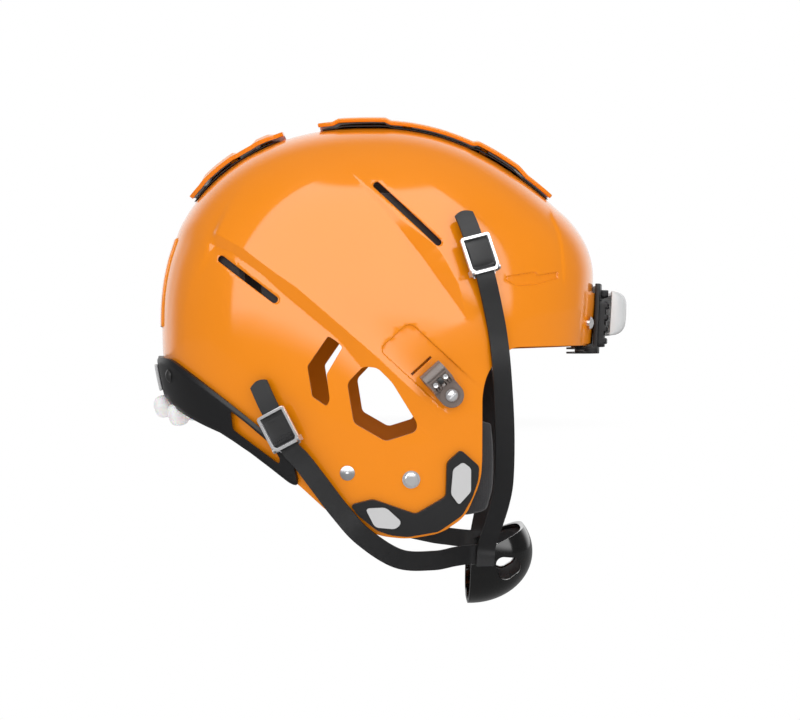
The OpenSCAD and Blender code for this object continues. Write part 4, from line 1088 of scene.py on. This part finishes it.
# Chin cup
CUP_X, CUP_Z, CUP_REACH, CUP_DEPTH, CUP_WALL, CUP_FOAM = 48, -132, 44, 36, 3, 5.6
CUP_VENT = [
    (64, -136.4), (67.5, -132.3), (79.7, -133.7), (82.4, -139), (81, -143.8), (72.9, -149.2), (66.8, -147),
]


def cup_point(e, phi, d):
    """Point d outside the chin cup at the angle e from forward round to below, and phi to the side."""
    s = rounded_power(np.cos(np.radians(phi)), CUP_POWER)
    return np.stack([
        CUP_X + (CUP_REACH + d) * s * np.cos(np.radians(e)),
        (CUP_HALF + d) * rounded_power(np.sin(np.radians(phi)), CUP_POWER),
        CUP_Z - (CUP_DEPTH + d) * s * np.sin(np.radians(e)),
    ], -1)


def chin_cup():
    def form(u, v):
        return cup_point(mix(-30, 92, (v + 1) / 2), 87 * u, -0.1)

    piece = curved_grid("chin_cup_shell", 90, 60, form)
    thicken(piece, (CUP_X, 0, CUP_Z), CUP_WALL)
    cut(piece, prism("vent_tool", CUP_VENT, 2.6, corner_steps=5))
    return soften(piece, 0.7, 3, 50)


def chin_cup_pad():
    def form(u, v):
        return cup_point(mix(-24, 84, (v + 1) / 2), 70 * u, -CUP_WALL - 0.4)

    piece = curved_grid("chin_cup_foam", 60, 40, form)
    thicken(piece, (CUP_X, 0, CUP_Z), CUP_FOAM)
    wide_vent = [(x + (x - 73) * 0.12, z + (z + 141) * 0.12) for x, z in CUP_VENT]
    cut(piece, prism("vent_tool", wide_vent, 2.6))
    return soften(piece, 1.6, 3, 50)


cup = chin_cup()
cup_foam = chin_cup_pad()


# Liner: each pad starts as a closed cushion smaller than its place, and is blown up as cloth
PAD_GAP, BROW_PAD_GAP, PAD_REACH = 0.7, 4.9, 3.5
PAD_VOXEL, PAD_PRESSURE, PAD_FRAMES = 4.5, 4, 20
CROWN_AHEAD, CROWN_HALF_LONG, CROWN_HALF_WIDE, CROWN_SEAM = 9, 78, 74, 27


def pad_swell(u, v):
    return 0.4 + 0.6 * np.sqrt(np.clip((1 - u ** 4) * (1 - v ** 4), 0, 1))


def cushion(name, place, thick):
    """A closed cushion: place(u, v, d) gives its points, d inside the face that rests on the wall."""
    def squared(u, v):
        return u * np.sqrt(1 - 0.18 * v * v), v * np.sqrt(1 - 0.18 * u * u)

    piece = box(name, (0, 0, 0), (2, 2, 2))
    with editing(piece, "SELECT"):
        bpy.ops.mesh.subdivide(number_cuts=30)
    flat = points_of(piece)
    u, v, w = flat.T
    shrink = 0.965
    a, b = squared(u * shrink, v * shrink)
    depth = mix(0.5, thick * pad_swell(u, v) - 1.5, (w + 1) / 2)
    set_points(piece, place(a, b, depth) * MM)
    face_outwards(piece)
    return piece


def blow_up(piece, keep_inside):
    """Fills a closed cushion by cloth simulation, and caps how far each point moves."""
    activate(piece)
    piece.data.remesh_voxel_size = PAD_VOXEL * MM
    bpy.ops.object.voxel_remesh()
    start = points_of(piece)
    cloth = piece.modifiers.new("cloth", "CLOTH")
    cloth.settings.use_pressure = True
    cloth.settings.uniform_pressure_force = PAD_PRESSURE
    cloth.settings.effector_weights.gravity = 0
    scene = bpy.context.scene
    for number in range(1, PAD_FRAMES + 1):
        scene.frame_set(number)
    activate(piece)
    bpy.ops.object.modifier_apply(modifier=cloth.name)
    scene.frame_set(1)
    moved = points_of(piece) - start
    length = np.linalg.norm(moved, axis=1)[:, None]
    set_points(piece, start + moved * np.minimum(1, PAD_REACH * MM / np.maximum(length, 1e-9)))
    apply(piece, "SUBSURF", levels=1, render_levels=1)
    set_points(piece, keep_inside(points_of(piece) / MM) * MM)


def sew(piece, distance, depth=2.6, width=1.9):
    """Draws the pad in along its sewn lines: distance gives how far a point is from the nearest."""
    points = points_of(piece)
    normals = np.array([v.normal[:] for v in piece.data.vertices])
    sink = depth * bump(distance(points / MM) / width)
    set_points(piece, points - normals * (sink * MM)[:, None])


def refine_near(piece, distance, within):
    with editing(piece) as edit:
        near = distance(np.array([v.co[:] for v in edit.verts]) / MM) < within
        for edge in edit.edges:
            if near[edge.verts[0].index] and near[edge.verts[1].index]:
                edge.select_set(True)
        bmesh.update_edit_mesh(piece.data)
        bpy.ops.mesh.subdivide(number_cuts=1)


def side_clamp(gap):
    """Keeps points gap inside the wall's inner face, drawn in towards the middle of their level."""
    def clamp(points):
        x, y, z = points.T
        shrink = 1 / np.maximum(fullness(x, y, z, -WALL - gap), 1)
        return np.stack([MID_X + (x - MID_X) * shrink, y * shrink, z], -1)
    return clamp


def crown_clamp(points):
    x, y, z = points.T
    return np.stack([x, y, np.minimum(z, top_z(x, y, -WALL - PAD_GAP))], -1)


def pad(name, place, thick, clamp, seams=None):
    piece = cushion(name, place, thick)
    blow_up(piece, clamp)
    if seams:
        refine_near(piece, seams, 4.5)
        sew(piece, seams)
    smooth(piece, 75)
    return piece


def ring_place(turn, level, half_turn, half_level, gap):
    def place(a, b, d):
        return ring_point(turn + half_turn * a, level + half_level * b, -WALL - gap - d)
    return place


def crown_place(a, b, d):
    x, y = MID_X + CROWN_AHEAD + CROWN_HALF_LONG * a, CROWN_HALF_WIDE * b
    return np.stack([x, y, top_z(x, y, -WALL - PAD_GAP - d)], -1)


def jaw_place(a, b, d):
    high, low = -36.7, 13 - JAW_DEPTH
    x = JAW_FRONT - 11.5 + 20 * a - 5 * np.maximum(0, -b - 0.4)
    z = (high + low) / 2 + (high - low) / 2 * b
    return np.stack([x, side_y(x, z, -WALL - PAD_GAP - d), z], -1)


def upright_seams(turns):
    """Distance to upright seams at some angles round the ring."""
    def distance(points):
        x, y, z = points.T
        turn = turn_of(x, y, z)
        around = np.hypot(x - MID_X, y)
        away = [np.abs((turn - t + 180) % 360 - 180) * math.pi / 180 * around for t in turns]
        return np.min(away, axis=0)
    return distance


def crown_seams(points):
    x, y, _ = points.T
    along = x - MID_X - CROWN_AHEAD
    across = np.minimum(np.abs(along - CROWN_SEAM), np.abs(along + CROWN_SEAM))
    return np.minimum(np.abs(y), across)


pads = {
    "crown_pad": pad("crown_cushion", crown_place, 22, crown_clamp, crown_seams),
    "front_pad": pad("front_cushion", ring_place(0, 50, 46, 31, BROW_PAD_GAP), 20,
                     side_clamp(BROW_PAD_GAP), upright_seams((-16, 16))),
    "back_pad": pad("back_cushion", ring_place(180, 39, 60, 36, PAD_GAP), 20, side_clamp(PAD_GAP),
                    upright_seams((164, -164))),
    "side_pad_left": pad("side_cushion_left", ring_place(94, 68, 25, 41, PAD_GAP), 18,
                         side_clamp(PAD_GAP), upright_seams((92,))),
    "jaw_pad_left": pad("jaw_cushion_left", jaw_place, 24, side_clamp(PAD_GAP)),
}
pads["side_pad_right"] = mirrored(pads["side_pad_left"], "side_cushion_right")
pads["jaw_pad_right"] = mirrored(pads["jaw_pad_left"], "jaw_cushion_right")

LOBE_RADIUS, LOBES = 7.8, [(8.5, 6.0, 4.2), (21, 1.0, 3.2)]


def nape_cushion():
    """A white band inside the nape, a shelf under the edge and four ribbed lobes below the bumper."""
    foot = -NAPE_DEPTH - 19

    def form(u, v):
        return ring_point(180 + 36 * u, mix(foot, -NAPE_DEPTH + 5, (v + 1) / 2), -WALL - 1.7)

    def shelf(u, v):
        return ring_point(180 + 23 * u, mix(foot, foot + 6, (v + 1) / 2), 2)

    piece = curved_grid("nape_lobes", 60, 12, form)
    thicken(piece, (MID_X, 0, -30), 7.6)
    bevel(piece, 2.4, 4, 50)
    parts = [curved_grid("shelf", 40, 4, shelf)]
    thicken(parts[0], (MID_X, 0, -30), 9)
    bevel(parts[0], 1.2, 3, 50)
    for angle, out, rise in LOBES:
        for side in (-1, 1):
            bpy.ops.mesh.primitive_uv_sphere_add(segments=56, ring_count=32, radius=1)
            lobe = take_new("lobe")
            flat = points_of(lobe)
            round_form = np.sign(flat) * np.abs(flat) ** 0.78
            ribs = 1 + 0.035 * np.cos(6 * np.arctan2(flat[:, 1], flat[:, 0]))[:, None]
            set_points(lobe, round_form * ribs * LOBE_RADIUS * np.array([0.9, 1, 0.82]))
            level = float(rear_low(angle)) - 0.6 - LOBE_RADIUS + rise
            move_by(lobe, ring_frame(180 + side * angle, level, out))
            parts.append(lobe)
    for part in parts:
        cut(piece, part, "UNION")
    smooth(piece, 50)
    return piece


nape = nape_cushion()


# Which body each piece rides on, and the solids that it stands for
def dress(piece, node, slot, body="helmet"):
    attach(piece, body)
    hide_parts(node)
    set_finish(piece, slot)


dress(shell, "shell", "shell_orange")
dress(front_crown, "crown_plate_front", "plate_orange", "front_crown_body")
dress(rear_crown, "crown_plate_rear", "plate_orange", "rear_crown_body")
dress(rear_band, "rear_bumper", "bumper_black")
dress(nameplate, "rear_plate", "badge_grey")
dress(front_block, "front_bumper", "bumper_black")
dress(front_cover, "front_plate", "plate_white")
dress(front_crown_cushion, "plate_cushion_front", "cushion_grey")
dress(rear_crown_cushion, "plate_cushion_rear", "cushion_grey")
dress(cup, "chin_cup", "cup_black")
dress(cup_foam, "chin_cup_pad", "cup_foam")
dress(nape, "nape_cushion", "nape_white")
for side, guard in zip(("left", "right"), guards):
    dress(guard, f"jaw_guard_{side}", "guard_grey")
    for part_name in ("body", "knobs", "core"):
        clip_piece, slot_name = clips[side, part_name]
        dress(clip_piece, f"side_clip_{side}", slot_name)
    for badge_name in ("front", "low"):
        dress(badges[side, badge_name], f"badges_{side}", "badge_grey")
    for level in ("upper", "lower"):
        dress(straps[level, side], f"{level}_strap_{side}", "strap_black")
        dress(fills[level, side], f"{level}_strap_{side}", "strap_black")
        body = f"buckle_{level}_{side}_body"
        dress(frames[level, side], f"buckle_frame_{level}_{side}", "chrome", body)
for node, pad_piece in pads.items():
    dress(pad_piece, node, "pad_black")


# Materials
def operator(kind, swapped=False):
    """A method that does the shader arithmetic of that kind with another value."""
    def act(self, other):
        return self.maths(kind, *((other, self) if swapped else (self, other)))
    return act


class Paint:
    """A shader socket: arithmetic on it adds Math nodes, and node() adds any other node."""

    def __init__(self, tree, socket=None):
        self.tree = tree
        self.socket = socket

    def node(self, kind, settings=None, inputs=None, output=0):
        made = self.tree.nodes.new(kind)
        for key, value in (settings or {}).items():
            if key == "stops":
                ramp = made.color_ramp.elements
                while len(ramp) < len(value):
                    ramp.new(0.5)
                for element, (position, colour) in zip(ramp, value):
                    element.position = position
                    element.color = colour
            else:
                setattr(made, key, value)
        for key, value in (inputs or {}).items():
            if isinstance(value, Paint):
                self.tree.links.new(value.socket, made.inputs[key])
            else:
                made.inputs[key].default_value = value
        return Paint(self.tree, made.outputs[output] if len(made.outputs) else None)

    def maths(self, operation, *values):
        return self.node("ShaderNodeMath", {"operation": operation}, dict(enumerate(values)))

    __add__, __radd__ = operator("ADD"), operator("ADD", True)
    __sub__, __rsub__ = operator("SUBTRACT"), operator("SUBTRACT", True)
    __mul__, __rmul__ = operator("MULTIPLY"), operator("MULTIPLY", True)
    __truediv__ = operator("DIVIDE")


def bumpy(paint, height, strength, distance, **more):
    inputs = {"Height": height, "Strength": strength, "Distance": distance, **more}
    return paint.node("ShaderNodeBump", None, inputs)


def empty_tree(owner):
    owner.use_nodes = True
    owner.node_tree.nodes.clear()
    return Paint(owner.node_tree)


def colour_mix(paint, share, a, b):
    """A blend of two colours or of two colour sockets."""
    return paint.node("ShaderNodeMix", {"data_type": "RGBA"}, {0: share, 6: a, 7: b}, 2)


def noise(paint, scale, detail=2.0, place=None):
    place = place or paint.node("ShaderNodeTexCoord", output="Object")
    inputs = {"Vector": place, "Scale": scale, "Detail": detail}
    return paint.node("ShaderNodeTexNoise", None, inputs, "Fac")


def axes(paint, vector):
    outputs = paint.node("ShaderNodeSeparateXYZ", None, {0: vector}).socket.node.outputs
    return [Paint(paint.tree, socket) for socket in outputs]


def finish(name, build, sockets):
    """A material: build(paint) gives what varies over the surface, sockets holds what doesn't."""
    material = bpy.data.materials.new(name)
    paint = empty_tree(material)
    shader = paint.node("ShaderNodeBsdfPrincipled", None, {**sockets, **build(paint)})
    paint.node("ShaderNodeOutputMaterial", None, {"Surface": shader})
    return material


def moulded(dark, light, rough, grain_scale, grain_depth, edge=0.0):
    """Moulded plastic or rubber: slight change of colour, and a fine grain in its height."""
    def build(paint):
        tone = noise(paint, 18, 3)
        grain = noise(paint, grain_scale, 2)
        more = {}
        if edge:
            more["Normal"] = paint.node("ShaderNodeBevel", {"samples": 4}, {"Radius": edge})
        return {
            "Base Color": colour_mix(paint, tone, dark, light),
            "Roughness": rough - 0.04 + 0.08 * noise(paint, 45, 2),
            "Normal": bumpy(paint, grain, 0.5, grain_depth, **more),
        }
    return build


def polished_shell_shaded_inside(dark, light, painted_shade_colour):
    """The shell's moulding: glossy outside; inside the wall and at its cut edges no coat and a darker
    colour, which is painted shade.
    """
    plain = moulded(dark, light, 0.3, 260, 0.00003, 0.0008)

    def build(paint):
        inputs = plain(paint)
        polished = paint.node("ShaderNodeAttribute", {"attribute_name": "polished"}, output="Fac")
        # Inside the wall and at the cut edges the base colour is the darker colour, painted shade; outside
        # it is the orange
        inputs["Base Color"] = colour_mix(paint, polished, painted_shade_colour, inputs["Base Color"])
        inputs["Coat Weight"] = polished
        return inputs
    return build


def woven(dark, light, rough, thread):
    """Webbing: threads along and across it, from its own UV map in metres."""
    def build(paint):
        across, along, _ = axes(paint, paint.node("ShaderNodeUVMap", {"uv_map": "weave"}))
        lines = paint.maths("SINE", across * (2 * math.pi / thread))
        height = lines * paint.maths("SINE", along * (2 * math.pi / (thread * 1.4)))
        return {
            "Base Color": colour_mix(paint, 0.5 + 0.3 * height, dark, light),
            "Roughness": rough + 0.06 * height,
            "Normal": bumpy(paint, height, 0.35, 0.0002),
        }
    return build


def knit(dark, light, rough, loop):
    """Knit cloth over foam: small loops in rows."""
    def build(paint):
        place = paint.node("ShaderNodeTexCoord", output="Object")
        rows = {"Vector": place, "Scale": 1 / loop, "Randomness": 0.35}
        cells = paint.node("ShaderNodeTexVoronoi", None, rows, "Distance")
        soft = noise(paint, 60, 3, place)
        return {
            "Base Color": colour_mix(paint, soft, dark, light),
            "Roughness": rough - 0.05 + 0.1 * soft,
            "Normal": bumpy(paint, cells, 0.5, 0.0005),
        }
    return build


def rgb(r, g, b):
    return (r, g, b, 1.0)


# Slot, material, maker, dark and light colour, the maker's numbers and the sockets that don't vary
ORANGE = (0.93, 0.265, 0.002), (0.97, 0.285, 0.003)
LOOKS = [
    # The shell's third colour, darker than its orange, is painted shade inside the wall and at its cut
    # edges
    ("shell_orange", "orange_moulding", polished_shell_shaded_inside, *ORANGE, (rgb(0.62, 0.15, 0.001),),
     {"Coat Roughness": 0.05, "Specular IOR Level": 0.2}),
    ("plate_orange", "orange_plate", moulded, *ORANGE, (0.32, 260, 0.00003, 0.0006),
     {"Coat Weight": 0.9, "Coat Roughness": 0.07, "Specular IOR Level": 0.2}),
    ("cushion_grey", "grey_soft_moulding", moulded, (0.025, 0.025, 0.027), (0.04, 0.04, 0.042),
     (0.7, 700, 0.0001), {}),
    ("bumper_black", "black_rubber", moulded, (0.009, 0.009, 0.01), (0.014, 0.014, 0.015),
     (0.4, 900, 0.00008), {"Specular IOR Level": 0.35}),
    ("plate_white", "clear_white_moulding", moulded, (0.86, 0.87, 0.88), (0.92, 0.92, 0.92),
     (0.22, 200, 0.00002), {"Transmission Weight": 0.25, "IOR": 1.49}),
    ("badge_grey", "light_grey_moulding", moulded, (0.56, 0.56, 0.57), (0.64, 0.64, 0.64),
     (0.4, 800, 0.00004), {}),
    ("guard_grey", "dark_grey_moulding", moulded, (0.014, 0.014, 0.015), (0.022, 0.022, 0.023),
     (0.38, 900, 0.00005), {"Specular IOR Level": 0.4}),
    ("clip_smoke", "smoke_plastic", moulded, (0.26, 0.21, 0.19), (0.34, 0.28, 0.25),
     (0.2, 300, 0.00003), {"Transmission Weight": 0.4, "IOR": 1.5}),
    ("chrome", "polished_chrome", moulded, (0.8, 0.8, 0.82), (0.86, 0.86, 0.87),
     (0.14, 500, 0.00001), {"Metallic": 0.6}),
    ("steel", "satin_steel", moulded, (0.5, 0.5, 0.52), (0.6, 0.6, 0.61),
     (0.3, 600, 0.00003), {"Metallic": 0.7}),
    ("snap_black", "black_snap", moulded, (0.02, 0.02, 0.02), (0.03, 0.03, 0.03),
     (0.35, 500, 0.00003), {}),
    ("pad_black", "black_knit", knit, (0.012, 0.012, 0.014), (0.03, 0.03, 0.033),
     (0.8, 0.0013), {"Sheen Weight": 0.25, "Sheen Roughness": 0.5}),
    ("nape_white", "white_soft_moulding", moulded, (0.95, 0.95, 0.95), (0.99, 0.99, 0.99),
     (0.35, 300, 0.00004), {"Subsurface Weight": 0.3, "Subsurface Scale": 0.004}),
    ("strap_black", "black_webbing", woven, (0.008, 0.008, 0.009), (0.02, 0.02, 0.021),
     (0.4, 0.0008), {}),
    ("cup_black", "black_gloss_plastic", moulded, (0.004, 0.004, 0.004), (0.006, 0.006, 0.006),
     (0.16, 300, 0.00002), {"Coat Weight": 0.6, "Coat Roughness": 0.05}),
    ("cup_foam", "black_cup_cloth", knit, (0.02, 0.02, 0.022), (0.035, 0.035, 0.038),
     (0.85, 0.0012), {}),
]
finishes = {
    slot: finish(name, maker(rgb(*dark), rgb(*light), *numbers), sockets)
    for slot, name, maker, dark, light, numbers, sockets in LOOKS
}


def paint_piece(piece, slot):
    piece.data.materials.clear()
    piece.data.materials.append(finishes[slot])
    piece.material_slots[0].link = "DATA"


slot_of_node = {part["node"]: part["material_slot"] for part in frame["record"]["subparts"]}
slot_of_node["rear_bumper_screws"] = "snap_black"
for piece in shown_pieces():
    slot = piece.get("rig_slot") or slot_of_node.get(piece.name)
    if slot:
        paint_piece(piece, slot)


# Studio: pale floor, soft light and the photograph's camera
def ray_kinds(paint):
    """Whether the ray comes from the camera, is a reflection, or has passed through something clear."""
    path = paint.node("ShaderNodeLightPath").socket.node.outputs
    return [Paint(paint.tree, path[f"Is {kind} Ray"]) for kind in ("Camera", "Glossy", "Transmission")]


def soft_step(paint, value, low, high):
    return paint.node("ShaderNodeMapRange", {"interpolation_type": "SMOOTHSTEP"},
                      {"Value": value, "From Min": low, "From Max": high})


def floor_material():
    """White, with the object's shadow near it, and dim in reflections."""
    material = bpy.data.materials.new("studio_floor_white")
    paint = empty_tree(material)
    camera_ray, glossy_ray, clear_ray = ray_kinds(paint)
    x, y, _ = axes(paint, paint.node("ShaderNodeTexCoord", output="Object"))
    far = soft_step(paint, paint.maths("SQRT", x * x + y * y), 0.3, 1.1)
    matte = paint.node("ShaderNodeBsdfDiffuse", None, {"Color": rgb(0.9, 0.9, 0.9)})
    tone = colour_mix(paint, glossy_ray, rgb(1, 1, 1), rgb(0.2, 0.2, 0.2))
    lit = paint.node("ShaderNodeEmission", None, {"Color": tone, "Strength": 1.0})
    share = (camera_ray + glossy_ray + clear_ray) * (0.9 + 0.1 * far)
    shader = paint.node("ShaderNodeMixShader", None, {0: share, 1: matte, 2: lit})
    paint.node("ShaderNodeOutputMaterial", None, {"Surface": shader})
    return material


FLOOR_SIZE, FLOOR_LEVEL, CAMERA_AWAY, CAMERA_LENS = 14, -0.262, 1.1, 70.8
bpy.ops.mesh.primitive_plane_add(size=FLOOR_SIZE, location=(0, 5.5, FLOOR_LEVEL))
floor = take_new("studio_floor")
floor.data.materials.append(floor_material())


# Strength of the plain light, and of the softbox that reflections find
PLAIN, SOFTBOX = 0.76, 3.0


def studio_world():
    """White where it is seen: it lights plainly, and reflections find a softbox and white behind."""
    world = bpy.data.worlds.new("studio_world")
    bpy.context.scene.world = world
    paint = empty_tree(world)
    camera_ray, glossy_ray, clear_ray = ray_kinds(paint)
    x, y, z = axes(paint, paint.node("ShaderNodeTexCoord", output="Generated"))
    ahead = (0 - y) / paint.maths("SQRT", x * x + y * y)
    ahead = ahead - 0.07 * soft_step(paint, x, -0.1, 0.1)
    box_seen = soft_step(paint, ahead, 0.47, 0.53) * soft_step(paint, z, -0.03, 0.14)
    box_seen = box_seen * (1 - soft_step(paint, z, 0.94, 0.965))
    pattern = 0.12 + 0.88 * soft_step(paint, y, 0.45, 0.85) + SOFTBOX * box_seen
    strength = PLAIN + (camera_ray + clear_ray) * (1 - PLAIN) + glossy_ray * (pattern - PLAIN)
    light = paint.node("ShaderNodeBackground", None, {"Color": rgb(1, 1, 1), "Strength": strength})
    paint.node("ShaderNodeOutputWorld", None, {"Surface": light})


studio_world()


def softbox(name, place, aim, size, power):
    light = bpy.data.lights.new(name, "AREA")
    light.shape = "RECTANGLE"
    light.size, light.size_y = size
    light.energy = power
    lamp = add_to_scene(name, light)
    lamp.location = place
    direction = Vector(aim) - Vector(place)
    lamp.rotation_mode = "QUATERNION"
    lamp.rotation_quaternion = direction.to_track_quat("-Z", "Y")
    lamp.visible_camera = False
    lamp.visible_glossy = False


softbox("front_softbox", (0.1, -1.35, 0.45), (0, 0, 0), (2.2, 1.4), 6.5)
softbox("top_softbox", (0, 0.1, 1.5), (0, 0, 0), (1.4, 1.4), 4.5)

camera = add_to_scene("camera", bpy.data.cameras.new("camera"))
camera.location = (0, -CAMERA_AWAY, 0)
camera.rotation_euler = (math.radians(90), 0, 0)
camera.data.lens = CAMERA_LENS
camera.data.sensor_width = 36
bpy.context.scene.camera = camera
bpy.context.scene.view_settings.view_transform = "Standard"
